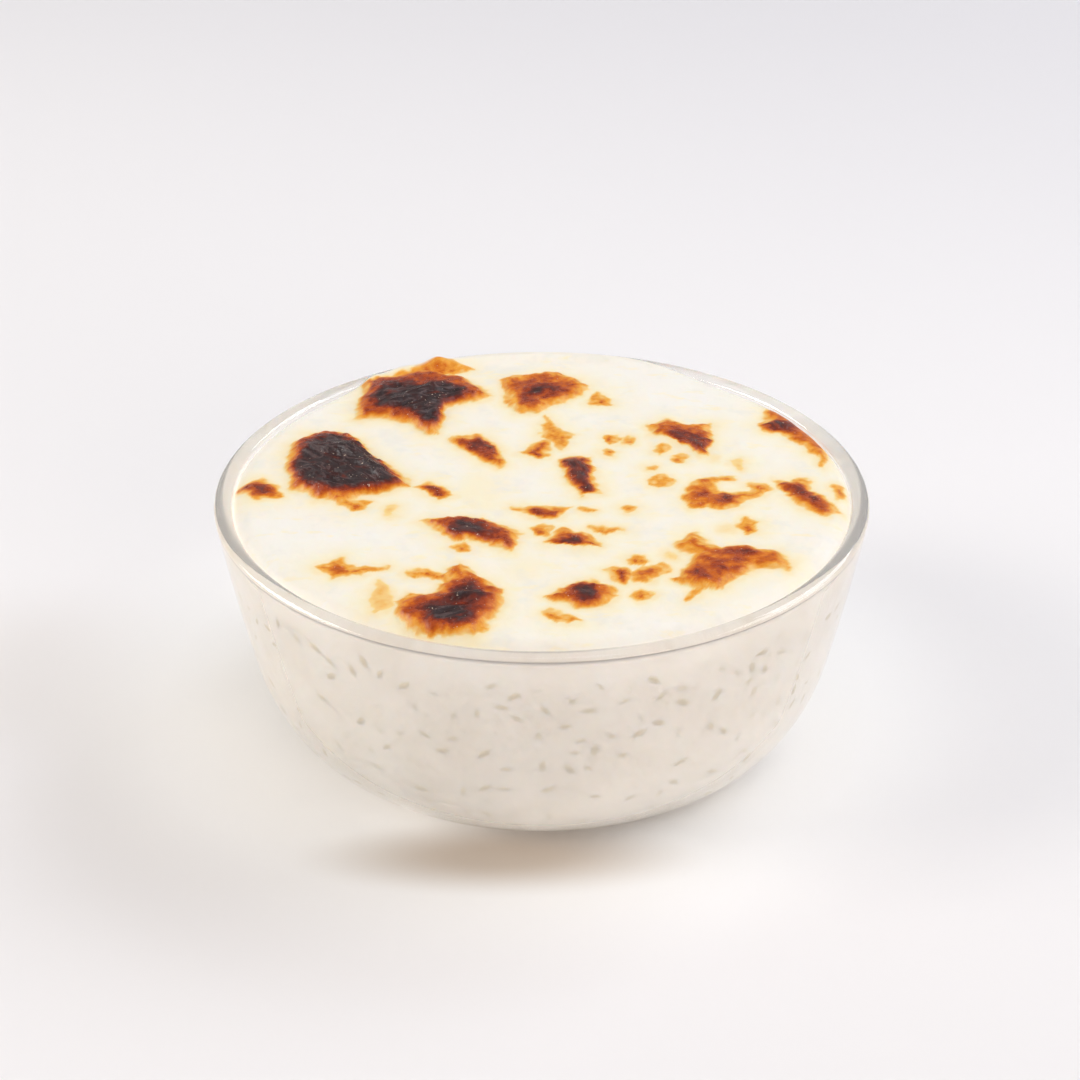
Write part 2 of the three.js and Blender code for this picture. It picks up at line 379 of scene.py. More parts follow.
    def material(self) -> bpy.types.Material:
        """Makes the pudding's skin and side as one finish."""
        make = ShaderMaker("baked_pudding")
        where = make.places()
        folds = make.attribute("wrinkle", "Vector")
        waves = make.grain(folds, 0.8, 2.0, 0.45, 0.5)
        creases = make.sum_up("ABSOLUTE", make.sum_up("SUBTRACT", waves, 0.5))
        browned = self.browned(make, folds)
        skin = make.attribute("skin")
        colour = make.blend(skin, self.flesh_colour(make), self.skin_colour(make, browned, creases))
        burnt = make.remap(browned, 0.25, 0.8)
        fine = make.grain(where, 1.0 / (0.45 * MM), 4.0, 0.6)
        soft = make.grain(where, 1.0 / (1.8 * MM), 2.0, 0.5)
        relief = make.sum_up("ADD", make.sum_up("MULTIPLY", fine, make.remap(burnt, 0, 1, 0.12, 1.0)), soft)
        depth = make.remap(burnt, 0.4, 1.0, 0.0, 7.0)
        relief = make.sum_up("SUBTRACT", relief, make.sum_up("MULTIPLY", creases, depth))
        glossy = make.sum_up("ADD", burnt, make.sum_up("MULTIPLY", fine, 0.35))
        shader = make.node("ShaderNodeBsdfPrincipled", {
            "Base Color": colour,
            "Roughness": make.remap(glossy, 0.1, 1.3, self.roughness, self.burnt_roughness),
            "IOR": self.refraction,
            "Specular IOR Level": self.sheen,
            "Subsurface Weight": make.remap(burnt, 0.0, 0.7, self.light_weight, 0.0),
            "Subsurface Radius": self.light_colours,
            "Subsurface Scale": self.light_depth * MM,
            "Normal": make.bump(relief, self.relief_height * MM),
        }, subsurface_method="RANDOM_WALK")
        return make.finish(shader.outputs["BSDF"])


@dataclass(frozen=True)
class CookedRice:
    """Translucent rice grains that fade into the pudding where they sink in it."""

    colour: Colour = srgb(202, 184, 136)
    roughness: float = 0.4
    full_lift: float = 0.2
    most_shown: float = 0.8

    def material(self, pudding: BakedPudding) -> bpy.types.Material:
        """Makes the rice.

        Args:
            pudding: Finish of the pudding that the grains lie in.

        Returns:
            The material.
        """
        make = ShaderMaker("cooked_rice")
        lift = make.attribute("lift")
        sink = make.attribute("sink")
        above = make.sum_up("SUBTRACT", lift, sink)
        shown = make.remap(above, 0.0, self.full_lift * MM, 0.0, self.most_shown)
        colour = make.blend(shown, pudding.flesh_colour(make), self.colour)
        shader = make.node("ShaderNodeBsdfPrincipled", {
            "Base Color": colour,
            "Roughness": self.roughness,
            "IOR": pudding.refraction,
            "Subsurface Weight": pudding.light_weight,
            "Subsurface Radius": pudding.light_colours,
            "Subsurface Scale": pudding.light_depth * MM,
        })
        return make.finish(shader.outputs["BSDF"])


@dataclass(frozen=True)
class PaintedLightSpot:
    """A soft oval on the table: paler for painted light, darker for a painted shadow."""

    middle: Point2
    half: Point2
    colour: Colour
    fade: tuple[float, float] = (0.2, 1.3)

    def lay(self, make: ShaderMaker, colour: bpy.types.NodeSocket) -> bpy.types.NodeSocket:
        """Blends the spot over a colour.

        Args:
            make: The material that is being built.
            colour: Colour of the table so far.

        Returns:
            The colour socket.
        """
        (x, y), (half_x, half_y) = self.middle, self.half
        from_middle = make.node("ShaderNodeMapping", {
            "Vector": make.places(),
            "Location": (-x / half_x, -y / half_y, 0.0),
            "Scale": (1.0 / (half_x * MM), 1.0 / (half_y * MM), 0.0),
        }).outputs[0]
        gap = make.node("ShaderNodeVectorMath", {0: from_middle}, operation="LENGTH").outputs["Value"]
        return make.blend(make.remap(gap, *self.fade, 1.0, 0.0), colour, self.colour)


@dataclass(frozen=True)
class PaleSurface:
    """Matt, almost white table with painted light and shade: painted light palest beside the bowl, painted
    shade greyer far right, painted shadows just in front and to the left.
    """

    colour: Colour = srgb(240, 237, 237)
    # Painted shade: the table greys towards the back and the far right, away from the bowl.
    far_painted_shade: Colour = srgb(221, 218, 220)
    painted_shade_falloff: tuple[float, float] = (0.12, 0.62)
    painted_light_spots: tuple[PaintedLightSpot, ...] = (
        # Painted shadow to the left of the bowl.
        PaintedLightSpot((-112.0, 14.0), (40.0, 34.0), srgb(232, 228, 226)),
        # Painted light on the table round the bowl.
        PaintedLightSpot((-6.0, 4.0), (82.0, 78.0), srgb(253, 252, 251), (0.72, 1.3)),
        # Painted shadow just in front of the bowl's foot.
        PaintedLightSpot((-8.0, -54.5), (33.0, 11.0), srgb(203, 190, 177)),
    )

    def material(self) -> bpy.types.Material:
        """Makes the table's surface."""
        make = ShaderMaker("pale_surface")
        part = make.node("ShaderNodeSeparateXYZ", {0: make.places()}).outputs
        away = make.sum_up("ADD", part["Y"], make.sum_up("MULTIPLY", part["X"], 0.7))
        colour = make.blend(make.remap(away, *self.painted_shade_falloff), self.colour, self.far_painted_shade)
        for painted_spot in self.painted_light_spots:
            colour = painted_spot.lay(make, colour)
        shader = make.node("ShaderNodeBsdfPrincipled", {
            "Base Color": colour, "Roughness": 0.85, "Specular IOR Level": 0.2,
        })
        return make.finish(shader.outputs["BSDF"])


# ----------------------------------------------------------- turned and scattered


class GeometryTree(TreeMaker):
    """Builds a Geometry Nodes tree and runs it on an object."""

    def __init__(self, name: str, inputs: Mapping[str, str]) -> None:
        """Makes the tree and its named inputs.

        Args:
            name: The tree's name.
            inputs: Socket type of each input, by name.
        """
        super().__init__(bpy.data.node_groups.new(name, "GeometryNodeTree"))
        face = self.tree.interface
        face.new_socket("Geometry", in_out="INPUT", socket_type="NodeSocketGeometry")
        for label, kind in inputs.items():
            face.new_socket(label, in_out="INPUT", socket_type=kind)
        face.new_socket("Geometry", in_out="OUTPUT", socket_type="NodeSocketGeometry")
        self.given = self.node("NodeGroupInput").outputs

    def close(self, geometry: bpy.types.NodeSocket, material: bpy.types.NodeSocket) -> None:
        """Ends the tree: instances made real, then the material set.

        Args:
            geometry: What the tree has made.
            material: The material input.
        """
        real = self.node("GeometryNodeRealizeInstances", {"Geometry": geometry}).outputs["Geometry"]
        dressed = self.node("GeometryNodeSetMaterial", {"Geometry": real, "Material": material})
        self.node("NodeGroupOutput", {"Geometry": dressed.outputs["Geometry"]})

    def run(self, source: bpy.types.Object, name: str, values: Mapping[str, Any]) -> bpy.types.Object:
        """Runs the tree on an object and makes a plain mesh of the result.

        Args:
            source: The object that the tree starts from; it is removed.
            name: Name of the new object.
            values: The tree's input values, by name.

        Returns:
            The new object, with no modifier.
        """
        modifier = source.modifiers.new(self.tree.name, "NODES")
        modifier.node_group = self.tree
        for item in self.tree.interface.items_tree:
            if item.in_out == "INPUT" and item.name in values:
                modifier[item.identifier] = values[item.name]
        graph = bpy.context.evaluated_depsgraph_get()
        mesh = bpy.data.meshes.new_from_object(source.evaluated_get(graph), depsgraph=graph)
        source.modifiers.clear()
        bpy.data.objects.remove(source)
        return add_object(name, mesh)


def add_object(name: str, mesh: bpy.types.Mesh) -> bpy.types.Object:
    """Links a new object at the origin.

    Args:
        name: Name of the object and its mesh.
        mesh: The mesh, in metres.

    Returns:
        The object.
    """
    mesh.name = name
    made = bpy.data.objects.new(name, mesh)
    bpy.context.scene.collection.objects.link(made)
    return made


def section_object(name: str, section: Sequence[Point2]) -> bpy.types.Object:
    """A row of points that a turned shape is made from.

    Args:
        name: Name of the object.
        section: Radius and height of each point, in millimetres.

    Returns:
        An object with one vertex for each point.
    """
    mesh = bpy.data.meshes.new(name)
    mesh.from_pydata([(r * MM, 0.0, z * MM) for r, z in section], [], [])
    return add_object(name, mesh)


def turning_tree() -> GeometryTree:
    """A tree that turns a section about +Z into a closed or open surface of revolution."""
    make = GeometryTree("turn_section", {
        "Turn Segments": "NodeSocketInt",
        "Weld Distance": "NodeSocketFloat",
        "Material": "NodeSocketMaterial",
    })
    given = make.given
    section = given["Geometry"]
    segments = given["Turn Segments"]
    count = make.node("GeometryNodeAttributeDomainSize", {"Geometry": section}).outputs["Point Count"]
    steps = make.sum_up("SUBTRACT", count, 1.0)
    sheet = make.node("GeometryNodeMeshGrid", {
        "Size X": segments,
        "Size Y": steps,
        "Vertices X": make.sum_up("ADD", segments, 1.0),
        "Vertices Y": count,
    }).outputs["Mesh"]
    place = make.node("ShaderNodeSeparateXYZ", {0: make.node("GeometryNodeInputPosition").outputs[0]})
    column = make.sum_up("ADD", place.outputs["X"], make.sum_up("MULTIPLY", segments, 0.5))
    row = make.sum_up("ROUND", make.sum_up("ADD", place.outputs["Y"], make.sum_up("MULTIPLY", steps, 0.5)))
    section_place = make.node("GeometryNodeInputPosition").outputs[0]
    picked = make.node("GeometryNodeSampleIndex", {"Geometry": section, "Value": section_place, "Index": row},
                       data_type="FLOAT_VECTOR", domain="POINT").outputs[0]
    angle = make.sum_up("DIVIDE", make.sum_up("MULTIPLY", column, 2.0 * math.pi), segments)
    swung = make.node("ShaderNodeVectorRotate", {"Vector": picked, "Angle": angle}, rotation_type="Z_AXIS")
    turned_sheet = make.node("GeometryNodeSetPosition", {"Geometry": sheet, "Position": swung.outputs[0]})
    welded = make.node("GeometryNodeMergeByDistance", {
        "Geometry": turned_sheet.outputs[0], "Distance": given["Weld Distance"],
    })
    smooth = make.node("GeometryNodeSetShadeSmooth", {"Geometry": welded.outputs[0]})
    make.close(smooth.outputs[0], given["Material"])
    return make


# ------------------------------------------------------------------- the bowl


@dataclass
class BowlShape:
    """Sections of the bowl, worked out from its lip, its lean and the turns at its foot."""

    lip_radius: float
    height: float
    lip_width: float = 3.6
    lip_rise: float = 1.0
    wall_lean: float = 13.2
    wall_bulge: float = 0.7
    outer_corner: Point2 = (9.4, 18.9)
    inner_corner: Point2 = (8.8, 15.8)
    floor_height: float = 3.0
    foot_inner_radius: float = 31.0
    recess_radius: float = 28.0
    recess_depth: float = 0.7
    recess_steps: int = 8

    @property
    def wall_top(self) -> float:
        """Height of the wall's widest line, just under the lip."""
        return self.height - self.lip_rise

    def wall_radius(self, z: float, top_radius: float, corner: Point2, base: float) -> float:
        """Radius of a leaning, slightly bowed wall with an elliptical turn at its bottom.

        Args:
            z: Height on the wall.
            top_radius: Radius at the wall's top.
            corner: Width and height of the turn.
            base: Height at which the wall ends.

        Returns:
            The radius.
        """
        up = (z - base) / (self.wall_top - base)
        leaning = top_radius - (self.wall_top - z) * math.tan(math.radians(self.wall_lean))
        bowed = leaning + 4.0 * self.wall_bulge * up * (1.0 - up)
        into_corner = min(1.0, max(0.0, 1.0 - (z - base) / corner[1]))
        return bowed - corner[0] * (1.0 - math.sqrt(1.0 - into_corner ** 2))

    def outer_radius(self, z: float) -> float:
        """Radius of the outside of the wall."""
        return self.wall_radius(z, self.lip_radius, self.outer_corner, 0.0)

    def inner_radius(self, z: float) -> float:
        """Radius of the inside of the wall."""
        return self.wall_radius(z, self.lip_radius - self.lip_width, self.inner_corner, self.floor_height)

    @staticmethod
    def heights(base: float, top: float, steps: int) -> list[float]:
        """Heights from base to top, much closer together near the base, where the wall turns."""
        return [base + (top - base) * (i / steps) ** 2.0 for i in range(steps + 1)]

    def section(self, wall_steps: int, lip_steps: int) -> list[Point2]:
        """The glass's section, from the middle of its underside over the lip to the middle of its floor.

        Args:
            wall_steps: Steps up each face of the wall.
            lip_steps: Steps over the lip.

        Returns:
            Radius and height of each point.
        """
        foot_edge = self.outer_radius(0.0)
        points = [(0.0, self.recess_depth), (self.recess_radius * 0.5, self.recess_depth)]
        for i in range(self.recess_steps + 1):
            share = i / self.recess_steps
            ease = 0.5 - 0.5 * math.cos(math.pi * share)
            r = self.recess_radius + (self.foot_inner_radius - self.recess_radius) * share
            points.append((r, self.recess_depth * (1.0 - ease)))
        points.append(((self.foot_inner_radius + foot_edge) / 2.0, 0.0))
        points += [(self.outer_radius(z), z) for z in self.heights(0.0, self.wall_top, wall_steps)]
        middle = self.lip_radius - self.lip_width / 2.0
        for i in range(1, lip_steps):
            angle = math.pi * i / lip_steps
            r = middle + self.lip_width / 2.0 * math.cos(angle)
            points.append((r, self.wall_top + self.lip_rise * math.sin(angle)))
        inner = self.heights(self.floor_height, self.wall_top, wall_steps)
        points += [(self.inner_radius(z), z) for z in reversed(inner)]
        floor_edge = self.inner_radius(self.floor_height)
        points += [(floor_edge * share, self.floor_height) for share in (0.6, 0.3, 0.0)]
        return points


@dataclass
class GlassBowl:
    """The clear bowl."""

    shape: BowlShape
    finish: ClearGlass = field(default_factory=ClearGlass)
    lip_finish: ClearGlass = ClearGlass("clear_lip", clearness=0.78)
    lip_depth: float = 1.6
    turn_segments: int = 192
    wall_steps: int = 64
    lip_steps: int = 28

    def build(self, turning: GeometryTree) -> bpy.types.Object:
        """Turns the bowl and puts it in place of its plain solid.

        Args:
            turning: The tree that turns a section.

        Returns:
            The bowl.
        """
        section = section_object("bowl_section", self.shape.section(self.wall_steps, self.lip_steps))
        glass = self.finish.material()
        bowl = turning.run(section, "clear_bowl", {
            "Turn Segments": self.turn_segments,
            "Weld Distance": 0.002 * MM,
            "Material": glass,
        })
        self.dress(bowl.data, glass)
        bowl.visible_shadow = False
        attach(bowl, "root")
        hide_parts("bowl")
        return bowl

    def dress(self, mesh: bpy.types.Mesh, glass: bpy.types.Material) -> None:
        """Gives the wall its glass, and the lip, which stands free of the pudding, a clearer one.

        Args:
            mesh: The bowl's mesh, in metres.
            glass: The wall's glass.
        """
        mesh.materials.clear()
        mesh.materials.append(glass)
        mesh.materials.append(self.lip_finish.material())
        centres = np.empty(3 * len(mesh.polygons))
        mesh.polygons.foreach_get("center", centres)
        in_lip = centres[2::3] > (self.shape.height - self.lip_depth) * MM
        mesh.polygons.foreach_set("material_index", in_lip.astype(np.int32))


# ----------------------------------------------------------------- the pudding


def measure_outline(points: np.ndarray,
                    outline: Sequence[Point2]) -> tuple[np.ndarray, np.ndarray, np.ndarray]:
    """Measures plan points against a closed outline.

    Args:
        points: Plan points, one row each.
        outline: Corners of the outline.

    Returns:
        Depth inside the outline, negative outside; distance along the outline; and how far the nearest
        edge faces -Y, from -1 to 1.
    """
    start = np.array(outline)
    edge = np.roll(start, -1, axis=0) - start
    length = np.hypot(edge[:, 0], edge[:, 1])
    run = np.concatenate([[0.0], np.cumsum(length)[:-1]])
    away = points[:, None, :] - start[None]
    share = np.clip((away * edge).sum(2) / length ** 2, 0.0, 1.0)
    gap = away - share[..., None] * edge
    distance = np.hypot(gap[..., 0], gap[..., 1])
    nearest = distance.argmin(1)
    rows = np.arange(len(points))
    rising = (start[:, 1][None] > points[:, 1:2]) != ((start + edge)[:, 1][None] > points[:, 1:2])
    slant = np.where(np.abs(edge[:, 1]) < 1e-9, 1e-9, edge[:, 1])
    crossing = start[:, 0] + (points[:, 1:2] - start[:, 1]) * edge[:, 0] / slant
    inside = (rising & (points[:, 0:1] < crossing)).sum(1) % 2 == 1
    depth = np.where(inside, 1.0, -1.0) * distance[rows, nearest]
    along = run[nearest] + share[rows, nearest] * length[nearest]
    outward = np.where(inside, 1.0, -1.0)[:, None] * -gap[rows, nearest]
    facing = -outward[:, 1] / np.maximum(distance[rows, nearest], 1e-6)
    return depth, along, facing


@dataclass(frozen=True)
class DarkCore:
    """The most burnt part of a patch."""

    tone: float
    outline: tuple[Point2, ...]


@dataclass(frozen=True)
class ScorchedPatch:
    """One browned patch of the skin, seen from above: its tone, its outline and its darker cores."""

    name: str
    tone: float
    outline: tuple[Point2, ...]
    cores: tuple[DarkCore, ...] = ()
    rise: float = 0.1
    wrinkle_turn: float = 0.0
    crisp_front: float = 0.3
    fringe: float = 1.8

    edge_tone = 0.28
    halo_tone = 0.14
    halo_reach = 3.2

    def browned(self, points: np.ndarray) -> tuple[np.ndarray, np.ndarray, np.ndarray]:
        """Works out how brown the patch makes the skin: amber at its edge, darkest in its cores.

        Args:
            points: Plan points, one row each.

        Returns:
            The browning, the depth inside the patch and the distance along its outline.
        """
        depth, along, facing = measure_outline(points, self.outline)
        soft = 1.5 - (0.4 + self.crisp_front) * smooth_step(facing, -0.6, 0.7)
        edge = min(self.edge_tone, 0.8 * self.tone)
        halo = min(self.halo_tone, 0.8 * self.tone)
        outside = np.maximum(edge * smooth_step(depth, -1.1 * soft, 0.0),
                             halo * np.exp(np.minimum(depth, 0.0) / self.halo_reach))
        inside = edge + (self.tone - edge) * smooth_step(depth, 0.0, self.fringe * soft)
        for core in self.cores:
            gap = -measure_outline(points, core.outline)[0]
            within = np.maximum(depth, 0.0)
            share = (within / (within + np.maximum(gap, 0.0) + 1e-6)) ** 1.15
            near = edge + (0.82 * core.tone - edge) * share
            inside = np.maximum(inside, near + 0.18 * core.tone * smooth_step(-gap, 0.0, 1.2))
        return np.where(depth > 0.0, inside, outside), depth, along


def spot(name: str, middle: Point2, half: Point2, tone: float) -> ScorchedPatch:
    """A small rounded patch.

    Args:
        name: The patch's name.
        middle: Its middle.
        half: Its half sizes along X and Y.
        tone: How brown its middle is.

    Returns:
        The patch.
    """
    corners = [math.tau * i / 8 for i in range(8)]
    outline = tuple((middle[0] + half[0] * math.cos(a), middle[1] + half[1] * math.sin(a)) for a in corners)
    return ScorchedPatch(name, tone, outline)


PATCHES: tuple[ScorchedPatch, ...] = (
    ScorchedPatch("back_star", 0.56, (
        (-38.0, 31.0), (-38.0, 35.5), (-37.3, 41.5), (-37.3, 48.0), (-34.5, 49.5), (-30.0, 51.0),
        (-26.7, 52.5), (-23.7, 52.6), (-20.0, 50.5), (-17.0, 49.5), (-15.0, 47.5), (-11.0, 41.0),
        (-13.5, 39.0), (-17.0, 38.0), (-20.0, 35.0), (-21.0, 28.0), (-22.0, 22.0), (-24.0, 24.0),
        (-26.5, 26.5), (-29.5, 29.5), (-33.0, 31.0), (-36.5, 30.0),
    ), (DarkCore(1.0, (
        (-35.0, 38.0), (-33.5, 43.0), (-30.5, 44.6), (-27.5, 42.4), (-23.0, 42.0), (-20.5, 43.4),
        (-17.5, 42.5), (-16.0, 40.5), (-18.5, 38.0), (-21.0, 36.0), (-22.0, 30.5), (-22.5, 27.0),
        (-24.5, 27.5), (-26.0, 31.0), (-29.5, 33.0), (-33.5, 34.5),
    )),), rise=1.3, wrinkle_turn=24.0),
    ScorchedPatch("back_flap", 0.4, (
        (-27.5, 52.0), (-26.5, 54.5), (-24.5, 56.5), (-23.0, 59.0), (-20.5, 59.0), (-19.0, 56.4),
        (-15.0, 54.0), (-18.0, 53.0), (-21.5, 51.8), (-24.0, 51.5),
    ), (DarkCore(0.5, (
        (-25.0, 52.5), (-23.5, 53.8), (-20.5, 54.4), (-18.5, 54.2), (-20.5, 53.2), (-23.0, 52.4),
    )),), rise=0.3),
    ScorchedPatch("left_shield", 0.56, (
        (-51.0, 8.5), (-51.0, 14.0), (-50.5, 19.5), (-47.5, 23.0), (-44.0, 23.5), (-40.0, 22.5),
        (-37.0, 19.0), (-34.5, 13.5), (-32.0, 9.5), (-29.5, 6.0), (-27.0, 2.0), (-26.5, -0.5),
        (-29.0, -1.5), (-32.0, -2.5), (-36.0, -3.5), (-40.0, -5.0), (-44.0, -4.5), (-46.5, -2.0),
        (-49.5, 0.0), (-50.0, 4.5),
    ), (DarkCore(1.0, (
        (-49.0, 11.0), (-48.0, 16.0), (-45.0, 19.5), (-42.0, 20.5), (-39.0, 19.0), (-37.0, 15.0),
        (-34.5, 11.5), (-32.0, 6.0), (-29.5, 1.5), (-30.0, -0.5), (-33.0, -1.0), (-36.0, -1.5),
        (-40.5, -2.0), (-45.0, -1.0), (-47.5, 1.5), (-48.5, 5.5),
    )),), rise=1.2, wrinkle_turn=-42.0),
    ScorchedPatch("left_edge", 0.55, (
        (-61.0, 1.0), (-56.5, 4.0), (-53.0, 0.0), (-51.5, -3.0), (-56.0, -4.5),
    ), (DarkCore(0.65, (
        (-57.5, 0.0), (-56.5, 1.5), (-54.5, 0.5), (-53.0, -2.0), (-54.5, -3.0), (-57.0, -2.0),
    )),), rise=0.4),
    ScorchedPatch("left_crumb", 0.55, ((-25.0, -0.5), (-22.0, 1.5), (-18.0, -3.5), (-20.5, -5.0)), (
        DarkCore(0.68, ((-22.5, -0.5), (-20.5, -1.5), (-19.5, -4.0), (-21.0, -4.0))),
    ), rise=0.3),
    ScorchedPatch("left_tan", 0.42, (
        (-40.0, -5.5), (-37.5, -5.0), (-34.0, -6.5), (-34.5, -9.0), (-37.5, -9.5))),
    ScorchedPatch("back_middle", 0.54, (
        (-8.5, 49.0), (-4.5, 50.5), (-0.5, 52.0), (4.0, 51.5), (7.0, 49.0), (9.5, 46.0), (8.0, 41.5),
        (5.0, 38.5), (1.5, 36.0), (-1.0, 33.5), (-4.5, 33.0), (-7.0, 37.0), (-7.5, 42.5),
    ), (DarkCore(0.78, (
        (-3.5, 40.0), (-3.0, 43.5), (0.5, 45.0), (2.5, 44.0), (4.0, 41.5), (2.5, 40.5), (0.5, 42.0),
        (-1.5, 40.0),
    )),), rise=0.9, wrinkle_turn=10.0, fringe=3.4),
    ScorchedPatch("back_corner", 0.45, ((10.5, 37.5), (12.0, 42.5), (14.5, 37.0))),
    ScorchedPatch("back_leaf", 0.56, (
        (-18.5, 20.5), (-12.5, 22.0), (-8.0, 14.0), (-8.5, 8.0), (-13.5, 13.0),
    ), (DarkCore(0.68, (
        (-16.5, 19.0), (-13.0, 21.0), (-10.5, 18.5), (-9.0, 14.0), (-11.5, 13.0), (-14.5, 15.5),
    )),), rise=0.5, wrinkle_turn=-50.0),
    ScorchedPatch("middle_wedge", 0.6, ((-4.0, 14.0), (0.5, 20.0), (1.5, 19.0), (0.0, 12.0)), rise=0.2),
    ScorchedPatch("middle_tan", 0.38, ((1.0, 31.0), (2.5, 26.5), (6.0, 22.0), (4.0, 16.0), (0.5, 22.0))),
    ScorchedPatch("upright_bar", 0.6, (
        (4.0, 11.0), (9.0, 12.5), (10.0, 4.5), (11.5, -3.0), (8.0, -4.0), (6.0, 1.5), (4.0, 8.0),
    ), (DarkCore(0.8, (
        (5.0, 9.5), (8.0, 10.0), (9.0, 6.0), (10.0, 1.0), (10.5, -3.0), (8.5, -3.0), (7.0, 2.0), (6.0, 6.0),
    )),), rise=0.6, wrinkle_turn=105.0, crisp_front=0.5),
    ScorchedPatch("right_wedge", 0.5, (
        (22.5, 26.5), (25.5, 28.5), (28.5, 28.0), (30.5, 27.0), (34.5, 28.0), (34.5, 20.5), (33.5, 13.0),
        (32.0, 13.0), (30.5, 15.0), (28.5, 17.5), (26.5, 20.5), (25.0, 21.5), (22.5, 22.5),
    ), (DarkCore(0.7, (
        (25.0, 22.5), (28.5, 23.5), (31.5, 22.0), (34.0, 20.0), (33.5, 13.5), (31.5, 14.0), (29.0, 17.3),
        (26.0, 21.0),
    )),), rise=0.9, wrinkle_turn=-38.0, crisp_front=0.7, fringe=2.6),
    ScorchedPatch("right_crescent", 0.44, (
        (28.0, -4.0), (29.5, 0.0), (32.0, 3.0), (34.5, 3.5), (38.0, 4.0), (38.5, 2.5), (35.5, 2.5),
        (34.0, 1.0), (34.5, -2.0), (37.5, -3.0), (40.5, -2.5), (42.5, -1.0), (41.0, 0.5), (42.5, 2.0),
        (44.5, 1.5), (45.5, -1.0), (43.5, -3.0), (40.0, -5.0), (38.5, -8.0), (36.0, -9.0), (33.0, -8.0),
        (30.0, -9.0), (28.5, -7.0),
    ), (
        DarkCore(0.68, ((35.0, -3.0), (36.5, -2.5), (38.0, -4.0), (37.5, -6.0), (35.5, -5.5))),
        DarkCore(0.62, ((30.0, -3.0), (32.0, -2.0), (32.5, -4.5), (30.5, -5.5))),
    ), rise=0.4),
    ScorchedPatch("right_blob", 0.44, (
        (38.0, -16.0), (40.0, -13.0), (42.0, -14.5), (41.5, -18.0), (39.5, -19.0))),
    ScorchedPatch("right_leaf", 0.54, (
        (47.0, 3.0), (49.5, 3.0), (51.5, 4.5), (53.0, 2.0), (53.5, -1.0), (56.0, -4.5), (58.0, -9.0),
        (56.0, -11.0), (52.5, -8.5), (49.5, -5.0), (47.5, -0.5),
    ), (DarkCore(0.62, (
        (47.5, 2.5), (51.5, 0.0), (54.5, -3.5), (56.0, -8.5), (53.0, -6.5), (49.0, -3.5),
    )),), rise=0.6, wrinkle_turn=-55.0),
    ScorchedPatch("right_strip", 0.45, (
        (45.0, 27.0), (46.5, 29.5), (48.0, 39.0), (50.0, 37.5), (51.0, 34.0), (53.5, 30.0), (56.0, 26.0),
        (57.5, 22.0), (59.0, 17.5), (57.0, 10.5), (56.0, 13.5), (54.0, 18.0), (52.0, 20.5), (49.0, 24.0),
        (46.0, 25.0),
    ), (
        DarkCore(0.8, ((46.5, 27.0), (48.0, 29.5), (50.0, 28.5), (51.5, 27.0), (50.0, 25.0), (48.0, 25.0))),
        DarkCore(0.68, ((48.5, 36.0), (49.5, 36.5), (52.0, 30.5), (51.0, 30.0))),
    ), rise=0.6, wrinkle_turn=-65.0),
    ScorchedPatch("right_crumb", 0.62, ((58.0, 1.0), (60.0, 2.0), (59.5, -2.5), (58.0, -3.5))),
    ScorchedPatch("middle_streak", 0.5, (
        (-6.0, -9.0), (0.0, -9.0), (5.5, -9.5), (3.0, -13.0), (-0.5, -13.0),
    ), (DarkCore(0.66, (
        (-1.5, -11.8), (0.5, -11.0), (3.0, -11.0), (2.5, -12.0), (-0.5, -12.3),
    )),), rise=0.3),
    ScorchedPatch("middle_cap", 0.56, (
        (1.0, -23.5), (4.5, -18.0), (8.5, -19.5), (11.5, -25.0), (6.0, -25.5),
    ), (DarkCore(0.8, (
        (3.0, -24.0), (4.8, -22.0), (6.5, -22.0), (8.0, -24.0), (7.5, -24.8), (5.5, -25.0),
    )),), rise=0.6, wrinkle_turn=-12.0, crisp_front=0.7),
    ScorchedPatch("cap_blob", 0.5, ((-2.0, -17.0), (0.0, -16.0), (2.0, -18.0), (1.0, -21.0), (-1.5, -20.0))),
    ScorchedPatch("cap_tail", 0.55, ((9.5, -17.5), (12.5, -17.2), (15.5, -17.5), (12.5, -19.5))),
    ScorchedPatch("middle_left", 0.56, (
        (-23.0, -14.5), (-18.0, -13.0), (-12.0, -13.5), (-4.5, -19.5), (-6.0, -26.5), (-12.0, -22.5),
        (-17.0, -22.5), (-20.5, -18.0),
    ), (DarkCore(0.92, (
        (-18.0, -18.5), (-16.0, -16.0), (-13.5, -15.8), (-11.0, -18.5), (-9.5, -21.0), (-11.0, -21.5),
        (-13.0, -21.0), (-16.0, -20.5), (-17.5, -19.5),
    )),), rise=0.9, wrinkle_turn=-30.0),
    ScorchedPatch("middle_left_crumb", 0.5, ((-17.5, -24.5), (-15.5, -24.0), (-14.0, -25.5), (-15.5, -26.5))),
    ScorchedPatch("front_left", 0.42, (
        (-19.0, -35.5), (-17.5, -33.0), (-15.5, -32.0), (-13.5, -35.5), (-10.0, -37.5), (-8.0, -41.5),
        (-8.0, -47.0), (-10.5, -54.0), (-12.5, -57.5), (-15.0, -56.5), (-18.5, -57.0), (-21.5, -55.0),
        (-24.5, -54.0), (-26.5, -49.5), (-27.0, -45.0), (-24.5, -43.0), (-20.5, -43.0), (-19.0, -40.5),
        (-18.0, -37.5),
    ), (DarkCore(0.97, (
        (-15.8, -42.5), (-13.5, -41.8), (-11.3, -42.8), (-11.0, -44.6), (-11.5, -46.8), (-13.0, -47.3),
        (-15.5, -47.0), (-16.6, -45.2),
    )), DarkCore(1.0, (
        (-21.5, -50.0), (-20.0, -49.0), (-17.0, -48.5), (-14.5, -49.5), (-13.5, -52.0), (-14.5, -53.5),
        (-17.0, -54.0), (-19.0, -53.5), (-21.0, -52.0),
